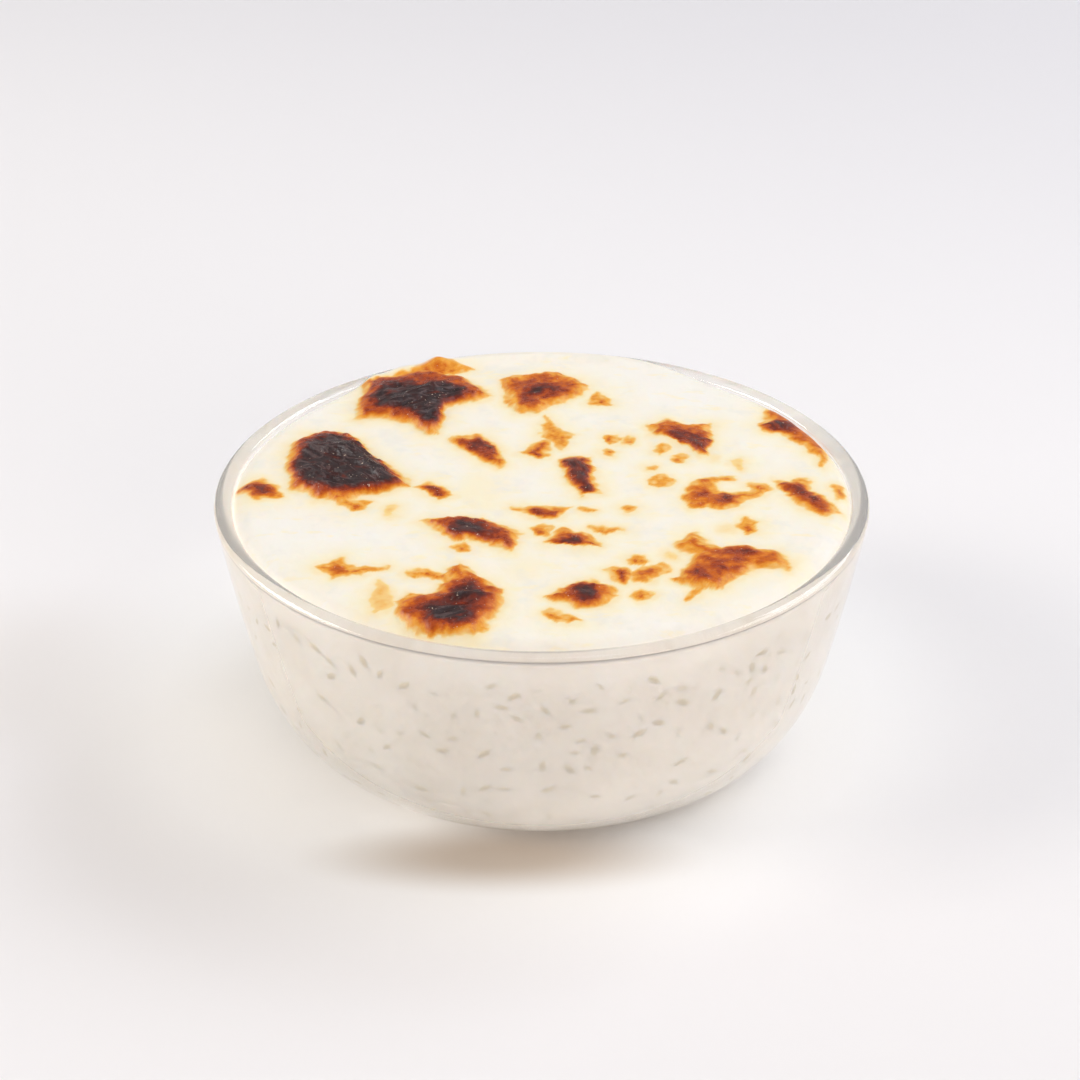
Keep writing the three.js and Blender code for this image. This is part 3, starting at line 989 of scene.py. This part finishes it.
    ))), rise=1.1, wrinkle_turn=24.0),
    ScorchedPatch("front_left_tail", 0.52, (
        (-26.0, -34.5), (-23.5, -34.0), (-20.0, -35.0), (-17.5, -34.5), (-18.0, -36.5), (-21.0, -36.5),
        (-24.0, -36.0),
    ), rise=0.4),
    ScorchedPatch("front_left_tan", 0.25, (
        (-32.0, -45.0), (-30.5, -37.5), (-28.0, -43.5), (-28.5, -47.5), (-31.0, -48.5))),
    ScorchedPatch("left_streak", 0.5, (
        (-42.5, -32.0), (-38.5, -29.5), (-35.5, -33.0), (-29.5, -32.0), (-34.5, -34.5), (-39.5, -35.5))),
    ScorchedPatch("front_oval", 0.5, (
        (1.0, -43.5), (4.5, -40.0), (7.0, -38.2), (10.5, -38.2), (12.8, -40.0), (13.2, -43.5), (11.0, -46.5),
        (6.5, -47.0),
    ), (DarkCore(0.92, (
        (7.0, -41.0), (8.5, -40.2), (9.8, -41.0), (10.2, -43.5), (9.0, -45.0), (7.5, -44.6), (6.5, -43.5),
    )),), rise=0.8, wrinkle_turn=-15.0),
    ScorchedPatch("front_crumb", 0.42, ((0.5, -49.5), (2.0, -48.5), (6.5, -52.0), (3.0, -53.0))),
    ScorchedPatch("pair_left", 0.6, (
        (12.5, -34.0), (14.0, -32.5), (16.0, -33.5), (17.0, -36.5), (16.0, -39.0), (13.5, -37.0),
    ), rise=0.4),
    ScorchedPatch("pair_right", 0.42, (
        (17.5, -35.0), (19.5, -32.5), (22.5, -31.0), (24.0, -32.5), (22.5, -35.0), (20.5, -37.0),
        (18.0, -38.5),
    ), rise=0.3),
    ScorchedPatch("right_long", 0.48, (
        (26.5, -23.5), (29.5, -19.0), (31.5, -24.0), (34.5, -25.0), (39.0, -24.0), (42.0, -25.5),
        (45.5, -26.5), (47.0, -29.5), (47.0, -33.0), (45.5, -32.5), (41.5, -32.0), (38.5, -34.5),
        (34.5, -38.5), (32.5, -40.5), (29.0, -40.0), (25.0, -37.0), (27.0, -33.0), (30.0, -28.0),
        (27.5, -26.0),
    ), (
        DarkCore(0.72, ((35.0, -26.8), (39.0, -26.5), (40.5, -28.0), (39.5, -29.0), (36.5, -28.0))),
        DarkCore(0.72, ((32.5, -31.0), (34.5, -32.0), (35.5, -34.0), (34.5, -34.5), (33.0, -33.0))),
        DarkCore(0.68, ((28.0, -35.0), (30.0, -34.0), (31.5, -35.5), (31.0, -37.5), (29.0, -37.0))),
    ), rise=0.9, wrinkle_turn=20.0, fringe=2.6),
    ScorchedPatch("long_tail", 0.35, ((27.0, -44.5), (29.0, -41.0), (31.5, -40.0), (29.5, -42.5))),
    spot("speck_a", (14.6, 20.8), (1.0, 1.7), 0.62),
    spot("speck_b", (13.4, 14.5), (0.9, 1.3), 0.62),
    spot("speck_c", (17.4, 19.9), (0.7, 1.4), 0.5),
    spot("tan_a", (24.7, 16.0), (1.4, 1.6), 0.44),
    spot("tan_b", (27.9, 11.6), (0.9, 1.4), 0.46),
    spot("tan_c", (23.8, 1.9), (1.8, 2.1), 0.38),
    spot("tan_d", (22.0, 7.5), (0.7, 0.9), 0.3),
    spot("tan_e", (39.8, 9.7), (0.9, 2.4), 0.22),
    spot("tan_f", (8.7, -10.0), (1.2, 0.7), 0.44),
    spot("tan_g", (17.1, -9.5), (1.3, 1.2), 0.46),
    spot("tan_h", (18.1, -29.8), (1.5, 1.5), 0.46),
    spot("tan_i", (18.9, -42.9), (1.8, 0.9), 0.48),
    spot("tan_j", (24.8, -27.7), (1.2, 1.4), 0.2),
    spot("tan_k", (36.4, -17.0), (1.2, 1.2), 0.16),
    spot("tan_l", (-29.5, -9.5), (0.8, 2.0), 0.24),
    spot("tan_m", (34.6, 12.5), (0.7, 1.6), 0.15),
    spot("butter_a", (-12.0, -2.0), (5.0, 8.0), 0.07),
    spot("butter_b", (-3.0, -33.0), (3.5, 3.5), 0.07),
)


@dataclass(frozen=True)
class SkinFold:
    """A fold that stands up in the skin: middle, half length, half width, turn and height."""

    middle: Point2
    half: Point2
    turn: float
    height: float

    def rise(self, points: np.ndarray) -> np.ndarray:
        """Height that the fold adds at each point."""
        along, across = turned(points, self.middle, self.turn)
        return self.height * np.exp(-(along / self.half[0]) ** 2 - (across / self.half[1]) ** 2)


FLAP: tuple[SkinFold, ...] = (
    SkinFold((-35.8, 49.6), (2.6, 1.4), 44.0, 0.9),
    SkinFold((-30.0, 53.0), (3.4, 1.2), 32.0, 0.4),
    SkinFold((-22.0, 56.2), (2.4, 1.6), -4.0, 1.4),
    SkinFold((-17.6, 55.4), (2.6, 1.2), -30.0, 0.7),
)
FOLDS: tuple[SkinFold, ...] = (
    SkinFold((-24.5, 40.5), (8.0, 1.7), 40.0, 0.9),
    SkinFold((-33.0, 41.0), (6.0, 1.8), -55.0, 0.7),
    SkinFold((-42.5, 14.4), (6.0, 1.7), -12.0, 0.8),
    SkinFold((-34.8, 7.0), (10.0, 1.6), -56.0, 1.0),
    SkinFold((27.5, 18.4), (8.0, 1.8), -38.0, 0.7),
    SkinFold((8.0, -25.8), (9.0, 1.8), -6.0, 0.6),
    SkinFold((-14.0, -45.4), (7.0, 1.5), 5.0, 0.9),
)


@dataclass
class SkinFields:
    """What the skin is like at each of its points."""

    height: np.ndarray
    browning: np.ndarray
    fibre: np.ndarray
    wrinkle: np.ndarray


@dataclass
class RicePudding:
    """The pudding: one closed body from just inside the glass up to its scorched skin."""

    bowl: BowlShape
    finish: BakedPudding = field(default_factory=BakedPudding)
    into_glass: float = 0.08
    edge_height: float = 48.9
    climb: float = 2.8
    climb_turns: tuple[float, float, float, float] = (48.0, 74.0, 118.0, 138.0)
    shoulder_radius: float = 57.5
    shoulder_height: float = 50.8
    dome_rise: float = 0.7
    skin_cells: int = 280
    side_steps: int = 14
    swell_height: float = 0.26
    grain_count: int = 190
    grain_half: Point2 = (2.8, 1.3)
    grain_height: float = 0.28
    patch_reach: float = 8.0
    fibre_size: Point2 = (0.42, 1.9)
    wrinkle_size: Point2 = (6.0, 2.2)
    layer_gap: float = 9.7

    @property
    def edge_radius(self) -> float:
        """Radius at which the skin ends, inside the glass wall."""
        return self.bowl.inner_radius(self.edge_height) + self.into_glass

    def disc_points(self) -> np.ndarray:
        """Skin points in plan: an even square grid drawn out onto the disc.

        Returns:
            Plan points, one row each, row by row of the grid.
        """
        steps = np.linspace(-1.0, 1.0, self.skin_cells + 1)
        a, b = np.meshgrid(steps, steps)
        wide = np.abs(a) > np.abs(b)
        safe_a = np.where(np.abs(a) < 1e-12, 1.0, a)
        safe_b = np.where(np.abs(b) < 1e-12, 1.0, b)
        radius = np.where(wide, a, b)
        angle = np.where(wide, math.pi / 4.0 * b / safe_a, math.pi / 2.0 - math.pi / 4.0 * a / safe_b)
        middle = (np.abs(a) < 1e-12) & (np.abs(b) < 1e-12)
        radius = np.where(middle, 0.0, radius) * self.edge_radius
        return np.column_stack([(radius * np.cos(angle)).ravel(), (radius * np.sin(angle)).ravel()])

    def outline(self) -> list[int]:
        """Indices of the grid's outline, in order, turning from +X towards +Y."""
        last = self.skin_cells
        row = last + 1
        right = [row * i + last for i in range(last)]
        back = [row * last + i for i in range(last, 0, -1)]
        left = [row * i for i in range(last, 0, -1)]
        return right + back + left + list(range(last))

    def scorch(self, points: np.ndarray) -> SkinFields:
        """Works out browning, fibres and the crust's own relief from the patches.

        Args:
            points: Plan points of the skin.

        Returns:
            The fields, with height holding only the crust's relief.
        """
        warp = np.column_stack([
            1.2 * noise_at(points, 4.0, layer) + 0.6 * noise_at(points, 1.4, layer + 1.0)
            for layer in (11.0, 21.0)
        ])
        bent = points + warp
        browning = np.zeros(len(points))
        relief = np.zeros(len(points))
        fibre = np.zeros((len(points), 3))
        wrinkle = np.zeros((len(points), 3))
        nearest = np.full(len(points), -1e3)
        for number, patch in enumerate(PATCHES):
            outline = np.array(patch.outline)
            low, high = outline.min(0) - self.patch_reach, outline.max(0) + self.patch_reach
            rows = np.nonzero(np.all((bent > low) & (bent < high), axis=1))[0]
            brown, depth, along = patch.browned(bent[rows])
            browning[rows] = np.maximum(browning[rows], brown)
            relief[rows] = np.maximum(relief[rows], self.crust(points[rows], depth, brown, patch))
            closer = depth > nearest[rows]
            nearest[rows[closer]] = depth[closer]
            layer = np.full(closer.sum(), self.layer_gap * number)
            width, length = self.fibre_size
            fibre[rows[closer]] = np.column_stack([along[closer] / width, depth[closer] / length, layer])
            down, across = turned(points[rows[closer]], (0.0, 0.0), patch.wrinkle_turn)
            length, width = self.wrinkle_size
            wrinkle[rows[closer]] = np.column_stack([down / length, across / width, layer])
            LOG.debug("%s: %d skin points", patch.name, closer.sum())
        blotches = 0.16 * noise_at(points, 2.4, 31.0) + 0.10 * noise_at(points, 1.0, 32.0)
        browning += blotches * smooth_step(browning, 0.1, 0.4)
        return SkinFields(relief, np.clip(browning, 0.0, 1.0), fibre, wrinkle)

    @staticmethod
    def crust(points: np.ndarray, depth: np.ndarray, brown: np.ndarray, patch: ScorchedPatch) -> np.ndarray:
        """Relief of one patch: a puffed plate with wrinkles where it is burnt.

        Args:
            points: Plan points near the patch.
            depth: Depth of each point inside the outline.
            brown: Browning of each point.
            patch: The patch.

        Returns:
            The height added at each point.
        """
        cover = smooth_step(depth, -0.9, 1.6)
        along, across = turned(points, (0.0, 0.0), patch.wrinkle_turn)
        stretched = np.column_stack([along / 3.0, across])
        wide = 1.0 - 2.2 * np.abs(noise_at(stretched, 2.6, 3.0 + patch.wrinkle_turn))
        fine = 1.0 - 2.2 * np.abs(noise_at(stretched, 1.2, 5.0 + patch.wrinkle_turn))
        burnt = smooth_step(brown, 0.4, 0.9) * smooth_step(depth, 0.2, 2.0)
        blister = noise_at(points, 1.2, 41.0) * smooth_step(depth, -0.6, 0.6)
        return patch.rise * cover * (1.0 + burnt * (0.4 * wide + 0.12 * fine)) + 0.22 * patch.tone * blister

    def lifted_by_rice(self, points: np.ndarray) -> np.ndarray:
        """Height that grains under the skin add.

        Args:
            points: Plan points of the skin.

        Returns:
            The height added at each point.
        """
        random = np.random.default_rng(41)
        rise = np.zeros(len(points))
        golden = math.pi * (3.0 - math.sqrt(5.0))
        for i in range(self.grain_count):
            r = self.shoulder_radius * math.sqrt((i + random.random()) / self.grain_count)
            middle = (r * math.cos(i * golden), r * math.sin(i * golden))
            along, across = turned(points, middle, 180.0 * random.random())
            spread = (along / self.grain_half[0]) ** 2 + (across / self.grain_half[1]) ** 2
            rise = np.maximum(rise, self.grain_height * random.random() * np.exp(-spread))
        return rise

    def edge_heights(self, points: np.ndarray) -> np.ndarray:
        """Height at which the skin meets the glass in the direction of each point, higher at the back.

        Args:
            points: Plan points of the skin.

        Returns:
            One height for each point.
        """
        turn = np.degrees(np.arctan2(points[:, 1], points[:, 0]))
        start, full, leave, end = self.climb_turns
        share = smooth_step(turn, start, full) - smooth_step(turn, leave, end)
        return self.edge_height + self.climb * share

    def fields(self, points: np.ndarray) -> SkinFields:
        """Height, browning and fibres of the whole skin.

        Args:
            points: Plan points of the skin.

        Returns:
            The fields.
        """
        skin = self.scorch(points)
        r = np.hypot(points[:, 0], points[:, 1])
        dome = self.shoulder_height + self.dome_rise * (1.0 - np.minimum(1.0, r / self.shoulder_radius) ** 2)
        roll = np.clip((r - self.shoulder_radius) / (self.edge_radius - self.shoulder_radius), 0.0, 1.0) ** 2
        waves = ((16.0, 1.0), (6.0, 1.0), (2.7, 0.45))
        swell = self.swell_height * sum(share * noise_at(points, size, 2.0 * size) for size, share in waves)
        relief = skin.height + swell + self.lifted_by_rice(points)
        for fold in FOLDS:
            relief += fold.rise(points)
        skin.height = (dome + relief) * (1.0 - roll) + self.edge_heights(points) * roll
        for fold in FLAP:
            skin.height += fold.rise(points)
        return skin

    def side_section(self) -> list[Point2]:
        """Section of the pudding's side and floor, from under its edge to near its middle."""
        section = []
        top = self.edge_height - 0.4
        for z in reversed(self.bowl.heights(self.bowl.floor_height, top, self.side_steps)):
            step = 1e-4
            slope = (self.bowl.inner_radius(z + step) - self.bowl.inner_radius(z)) / step
            length = math.hypot(1.0, slope)
            section.append((self.bowl.inner_radius(z) + self.into_glass / length,
                            z - self.into_glass * slope / length))
        return section

    def build(self) -> bpy.types.Object:
        """Makes the pudding and puts it in place of its plain solid.

        Returns:
            The pudding.
        """
        plan = self.disc_points()
        skin = self.fields(plan)
        vertices = [np.column_stack([plan, skin.height])]
        row = self.skin_cells + 1
        corner = (np.arange(self.skin_cells)[:, None] * row + np.arange(self.skin_cells)[None]).ravel()
        quads = [np.column_stack([corner, corner + 1, corner + row + 1, corner + row])]
        ring = np.array(self.outline())
        angle = np.arctan2(plan[ring, 1], plan[ring, 0])
        count = len(plan)
        for radius, z in self.side_section():
            x, y = radius * np.cos(angle), radius * np.sin(angle)
            vertices.append(np.column_stack([x, y, np.full(len(ring), z)]))
            lower = count + np.arange(len(ring))
            quads.append(np.column_stack([ring, lower, np.roll(lower, -1), np.roll(ring, -1)]))
            ring = lower
            count += len(ring)
        vertices.append(np.array([[0.0, 0.0, vertices[-1][0, 2]]]))
        fan = np.column_stack([np.full(len(ring), count), np.roll(ring, -1), ring])
        points = np.concatenate(vertices) * MM
        faces = [quad.tolist() for quad in np.concatenate(quads)] + fan.tolist()
        mesh = bpy.data.meshes.new("rice_pudding")
        mesh.from_pydata(points.tolist(), [], faces)
        mesh.shade_smooth()
        self.store(mesh, "browning", "FLOAT", skin.browning)
        self.store(mesh, "skin", "FLOAT", self.skin_share(plan))
        self.store(mesh, "fibre", "FLOAT_VECTOR", skin.fibre)
        self.store(mesh, "wrinkle", "FLOAT_VECTOR", skin.wrinkle)
        mesh.materials.append(self.finish.material())
        pudding = add_object("baked_rice_pudding", mesh)
        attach(pudding, "root")
        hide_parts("pudding")
        return pudding

    def skin_share(self, plan: np.ndarray) -> np.ndarray:
        """How far each skin point is skin, 1, rather than the flesh behind the glass, 0."""
        r = np.hypot(plan[:, 0], plan[:, 1])
        return 1.0 - smooth_step(r, self.edge_radius - 0.8, self.edge_radius)

    @staticmethod
    def store(mesh: bpy.types.Mesh, name: str, kind: str, values: np.ndarray) -> None:
        """Writes one attribute for the skin's points and leaves the side's at 0.

        Args:
            mesh: The pudding's mesh, whose first points are the skin.
            name: The attribute's name.
            kind: FLOAT or FLOAT_VECTOR.
            values: The skin's values, one row for each point.
        """
        attribute = mesh.attributes.new(name, kind, "POINT")
        full = np.zeros((len(mesh.vertices),) + values.shape[1:])
        full[: len(values)] = values
        attribute.data.foreach_set("vector" if kind == "FLOAT_VECTOR" else "value", full.ravel())


@dataclass
class SunkenRice:
    """Rice grains that touch the glass and show through it."""

    pudding: RicePudding
    finish: CookedRice = field(default_factory=CookedRice)
    low: float = 5.4
    high: float = 43.0
    carrier_steps: int = 20
    carrier_segments: int = 96
    grains_per_square_metre: float = 40000.0
    closest: float = 3.3
    grain_length: float = 4.8
    grain_width: float = 2.3
    grain_depth: float = 2.0
    size_range: Point2 = (0.86, 1.08)
    sunk_share: Point2 = (0.33, 0.43)
    seed: int = 7

    def carrier(self, turning: GeometryTree) -> bpy.types.Object:
        """The pudding's side, as the surface that the grains lie in.

        Args:
            turning: The tree that turns a section.

        Returns:
            An open surface of revolution.
        """
        section = []
        for z in self.pudding.bowl.heights(self.low, self.high, self.carrier_steps):
            section.append((self.pudding.bowl.inner_radius(z) + self.pudding.into_glass, z))
        return turning.run(section_object("rice_carrier_section", section), "rice_carrier", {
            "Turn Segments": self.carrier_segments,
            "Weld Distance": 0.002 * MM,
        })

    @staticmethod
    def scatter_tree() -> GeometryTree:
        """A tree that lays grains in a surface, turned at random and sunk by different amounts."""
        make = GeometryTree("scatter_rice", {
            "Grains per Square Metre": "NodeSocketFloat",
            "Closest": "NodeSocketFloat",
            "Seed": "NodeSocketInt",
            "Grain Size": "NodeSocketVector",
            "Smallest Share": "NodeSocketFloat",
            "Largest Share": "NodeSocketFloat",
            "Least Sunk": "NodeSocketFloat",
            "Most Sunk": "NodeSocketFloat",
            "Material": "NodeSocketMaterial",
        })
        given = make.given
        spread = make.node("GeometryNodeDistributePointsOnFaces", {
            "Mesh": given["Geometry"],
            "Distance Min": given["Closest"],
            "Density Max": given["Grains per Square Metre"],
            "Density Factor": 1.0,
            "Seed": given["Seed"],
        }, distribute_method="POISSON")
        ball = make.node("GeometryNodeMeshUVSphere", {"Segments": 14, "Rings": 8, "Radius": 0.5})
        grain = make.node("GeometryNodeTransform", {
            "Geometry": ball.outputs["Mesh"], "Scale": given["Grain Size"],
        })
        height = make.node("ShaderNodeSeparateXYZ", {0: make.node("GeometryNodeInputPosition").outputs[0]})
        marked = make.node("GeometryNodeStoreNamedAttribute", {
            "Geometry": grain.outputs[0], "Name": "lift", "Value": height.outputs["Z"],
        }, data_type="FLOAT", domain="POINT")
        spin = make.node("FunctionNodeRandomValue", {2: 0.0, 3: math.tau, "Seed": 3}, data_type="FLOAT")
        angles = make.node("ShaderNodeCombineXYZ", {"Z": spin.outputs[1]})
        turn = make.node("FunctionNodeEulerToRotation", {0: angles.outputs[0]})
        facing = make.node("FunctionNodeRotateRotation", {
            "Rotation": spread.outputs["Rotation"], "Rotate By": turn.outputs[0],
        }, rotation_space="LOCAL")
        size = make.node("FunctionNodeRandomValue", {
            2: given["Smallest Share"], 3: given["Largest Share"], "Seed": 5,
        }, data_type="FLOAT")
        laid = make.node("GeometryNodeInstanceOnPoints", {
            "Points": spread.outputs["Points"],
            "Instance": marked.outputs[0],
            "Rotation": facing.outputs[0],
            "Scale": size.outputs[1],
        })
        sink = make.node("FunctionNodeRandomValue", {
            2: given["Least Sunk"], 3: given["Most Sunk"], "Seed": 9,
        }, data_type="FLOAT")
        noted = make.node("GeometryNodeStoreNamedAttribute", {
            "Geometry": laid.outputs[0], "Name": "sink", "Value": sink.outputs[1],
        }, data_type="FLOAT", domain="INSTANCE")
        depth = make.node("GeometryNodeInputNamedAttribute", {"Name": "sink"}, data_type="FLOAT")
        down = make.node("ShaderNodeCombineXYZ", {"Z": make.sum_up("MULTIPLY", depth.outputs[0], -1.0)})
        sunk = make.node("GeometryNodeTranslateInstances", {
            "Instances": noted.outputs[0], "Translation": down.outputs[0], "Local Space": True,
        })
        real = make.node("GeometryNodeRealizeInstances", {"Geometry": sunk.outputs[0]})
        smooth = make.node("GeometryNodeSetShadeSmooth", {"Geometry": real.outputs[0]})
        make.close(smooth.outputs[0], given["Material"])
        return make

    def build(self, turning: GeometryTree) -> bpy.types.Object:
        """Scatters the grains and joins them to the pudding's node.

        Args:
            turning: The tree that turns a section.

        Returns:
            All the grains as one mesh.
        """
        rice = self.scatter_tree().run(self.carrier(turning), "sunken_rice", {
            "Grains per Square Metre": self.grains_per_square_metre,
            "Closest": self.closest * MM,
            "Seed": self.seed,
            "Grain Size": (self.grain_length * MM, self.grain_width * MM, self.grain_depth * MM),
            "Smallest Share": self.size_range[0],
            "Largest Share": self.size_range[1],
            "Least Sunk": self.sunk_share[0] * self.grain_depth * MM,
            "Most Sunk": self.sunk_share[1] * self.grain_depth * MM,
            "Material": self.finish.material(self.pudding.finish),
        })
        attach(rice, "root")
        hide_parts("pudding")
        return rice


# ------------------------------------------------------------------ the studio


@dataclass(frozen=True)
class SoftLight:
    """A square light that faces its aim, the middle of the bowl if nothing else is given.

    A light that isn't soft shows in mirror images alone, and one that isn't mirrored shows in none.
    """

    name: str
    place: tuple[float, float, float]
    width: float
    power: float
    colour: tuple[float, float, float]
    aim: tuple[float, float, float] = (0.0, 0.0, 0.03)
    soft: bool = True
    mirrored: bool = True

    def hang(self) -> None:
        """Makes the light and points it, with or without its soft light and its mirror image."""
        lamp = bpy.data.lights.new(self.name, "AREA")
        lamp.shape = "SQUARE"
        lamp.size = self.width
        lamp.energy = self.power
        lamp.color = self.colour
        light = bpy.data.objects.new(self.name, lamp)
        light.location = self.place
        direction = Vector(self.aim) - Vector(self.place)
        light.rotation_euler = direction.to_track_quat("-Z", "Y").to_euler()
        light.visible_diffuse = self.soft
        light.visible_glossy = light.visible_transmission = self.mirrored
        bpy.context.scene.collection.objects.link(light)


@dataclass
class Studio:
    """Table, lights and camera, in metres."""

    surface: PaleSurface = field(default_factory=PaleSurface)
    lights: tuple[SoftLight, ...] = (
        SoftLight("overhead_softbox", (0.07, 0.03, 1.25), 0.38, 0.5, (0.7, 0.8, 1.0)),
        SoftLight("back_right_softbox", (0.7, 0.7, 0.9), 0.5, 3.8, (0.84, 0.89, 1.0)),
        SoftLight("low_right_softbox", (1.0, 0.25, 0.55), 0.5, 1.7, (0.97, 0.99, 1.0)),
        SoftLight("high_right_softbox", (1.4, 0.37, 1.45), 0.9, 8.6, (0.92, 0.95, 1.0)),
        SoftLight("front_right_softbox", (0.6, -1.1, 0.5), 0.6, 3.6, (1.0, 0.87, 0.78)),
        SoftLight("left_softbox", (-1.0, -0.1, 0.7), 0.5, 4.85, (1.0, 0.935, 0.855)),
        SoftLight("lip_glint", (-0.95, 0.28, 0.75), 0.6, 11.0, (1.0, 1.0, 1.0), soft=False),
    )
    bounce_turns: tuple[float, ...] = (-126.0, -105.0, -90.0, -75.0, -45.0, -12.0)
    bounce_radius: float = 0.074
    bounce_height: float = 0.002
    bounce_width: float = 0.044
    bounce_power: float = 0.0024
    bounce_colour: tuple[float, float, float] = (1.0, 0.98, 0.94)
    room_above: float = 0.71
    room_front: float = 0.32
    room_back: float = 0.6
    room_left: float = 0.64
    room_right: float = 0.1
    camera_place: tuple[float, float, float] = (-0.00034, -0.5739, 0.3552)
    camera_tilt: float = 61.17
    sensor_width: float = 36.0
    focal_length: float = 108.9
    table_half: float = 2.0
    table_gap: float = 0.05

    def build(self) -> None:
        """Makes everything round the dessert."""
        self.lay_table()
        for light in self.lights:
            light.hang()
        for turn in self.bounce_turns:
            self.bounce(turn).hang()
        self.light_room()
        self.place_camera()
        bpy.context.scene.view_settings.view_transform = "Standard"

    def bounce(self, turn: float) -> SoftLight:
        """Light that the table throws back up onto the leaning wall, in one direction from the bowl.

        Args:
            turn: The direction, in degrees from +X.

        Returns:
            A small light that faces straight up.
        """
        x = self.bounce_radius * math.cos(math.radians(turn))
        y = self.bounce_radius * math.sin(math.radians(turn))
        return SoftLight(f"table_bounce_{abs(turn):.0f}", (x, y, self.bounce_height), self.bounce_width,
                         self.bounce_power, self.bounce_colour, (x, y, 1.0), mirrored=False)

    def lay_table(self) -> None:
        """A wide pale sheet just under the bowl's foot."""
        half = self.table_half
        corners = [(-half, -half), (half, -half), (half, half), (-half, half)]
        mesh = bpy.data.meshes.new("table")
        mesh.from_pydata([(x, y, -self.table_gap * MM) for x, y in corners], [], [(0, 1, 2, 3)])
        mesh.materials.append(self.surface.material())
        add_object("table", mesh)

    def light_room(self) -> None:
        """A pale room: light from above, and low light of its own from each side."""
        world = bpy.data.worlds.new("pale_room")
        world.use_nodes = True
        bpy.context.scene.world = world
        make = TreeMaker(world.node_tree)
        direction = make.node("ShaderNodeTexCoord").outputs["Generated"]
        part = make.node("ShaderNodeSeparateXYZ", {0: direction}).outputs
        height = make.sum_up("MAXIMUM", part["Z"], 0.0)
        low = make.sum_up("SUBTRACT", 1.0, height)
        light = make.sum_up("MULTIPLY", height, self.room_above)
        front_and_back = (("Y", -self.room_front), ("Y", self.room_back))
        left_and_right = (("X", -self.room_left), ("X", self.room_right))
        for axis, strength in front_and_back + left_and_right:
            towards = make.sum_up("MAXIMUM", make.sum_up("MULTIPLY", part[axis], strength), 0.0)
            light = make.sum_up("ADD", light, make.sum_up("MULTIPLY", towards, low))
        background = make.node("ShaderNodeBackground", {"Strength": light})
        make.node("ShaderNodeOutputWorld", {"Surface": background.outputs[0]})

    def place_camera(self) -> None:
        """A long lens that looks down on the bowl."""
        lens = bpy.data.cameras.new("camera")
        lens.sensor_width = self.sensor_width
        lens.lens = self.focal_length
        camera = bpy.data.objects.new("camera", lens)
        camera.location = self.camera_place
        camera.rotation_euler = (math.radians(self.camera_tilt), 0.0, 0.0)
        bpy.context.scene.collection.objects.link(camera)
        bpy.context.scene.camera = camera


def main() -> None:
    """Builds the studio and the dessert, and reports each piece."""
    logging.basicConfig(level=logging.INFO, format="%(name)s: %(message)s")
    Studio().build()
    _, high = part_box("bowl")
    shape = BowlShape(lip_radius=round(high.x / MM, 3), height=round(high.z / MM, 3))
    turning = turning_tree()
    pudding = RicePudding(shape)
    builders: list[Callable[[], bpy.types.Object]] = [
        lambda: GlassBowl(shape).build(turning),
        pudding.build,
        lambda: SunkenRice(pudding).build(turning),
    ]
    for build in builders:
        piece = build()
        LOG.info("%s: %d faces", piece.name, len(piece.data.polygons))


if __name__ == "__main__":
    main()
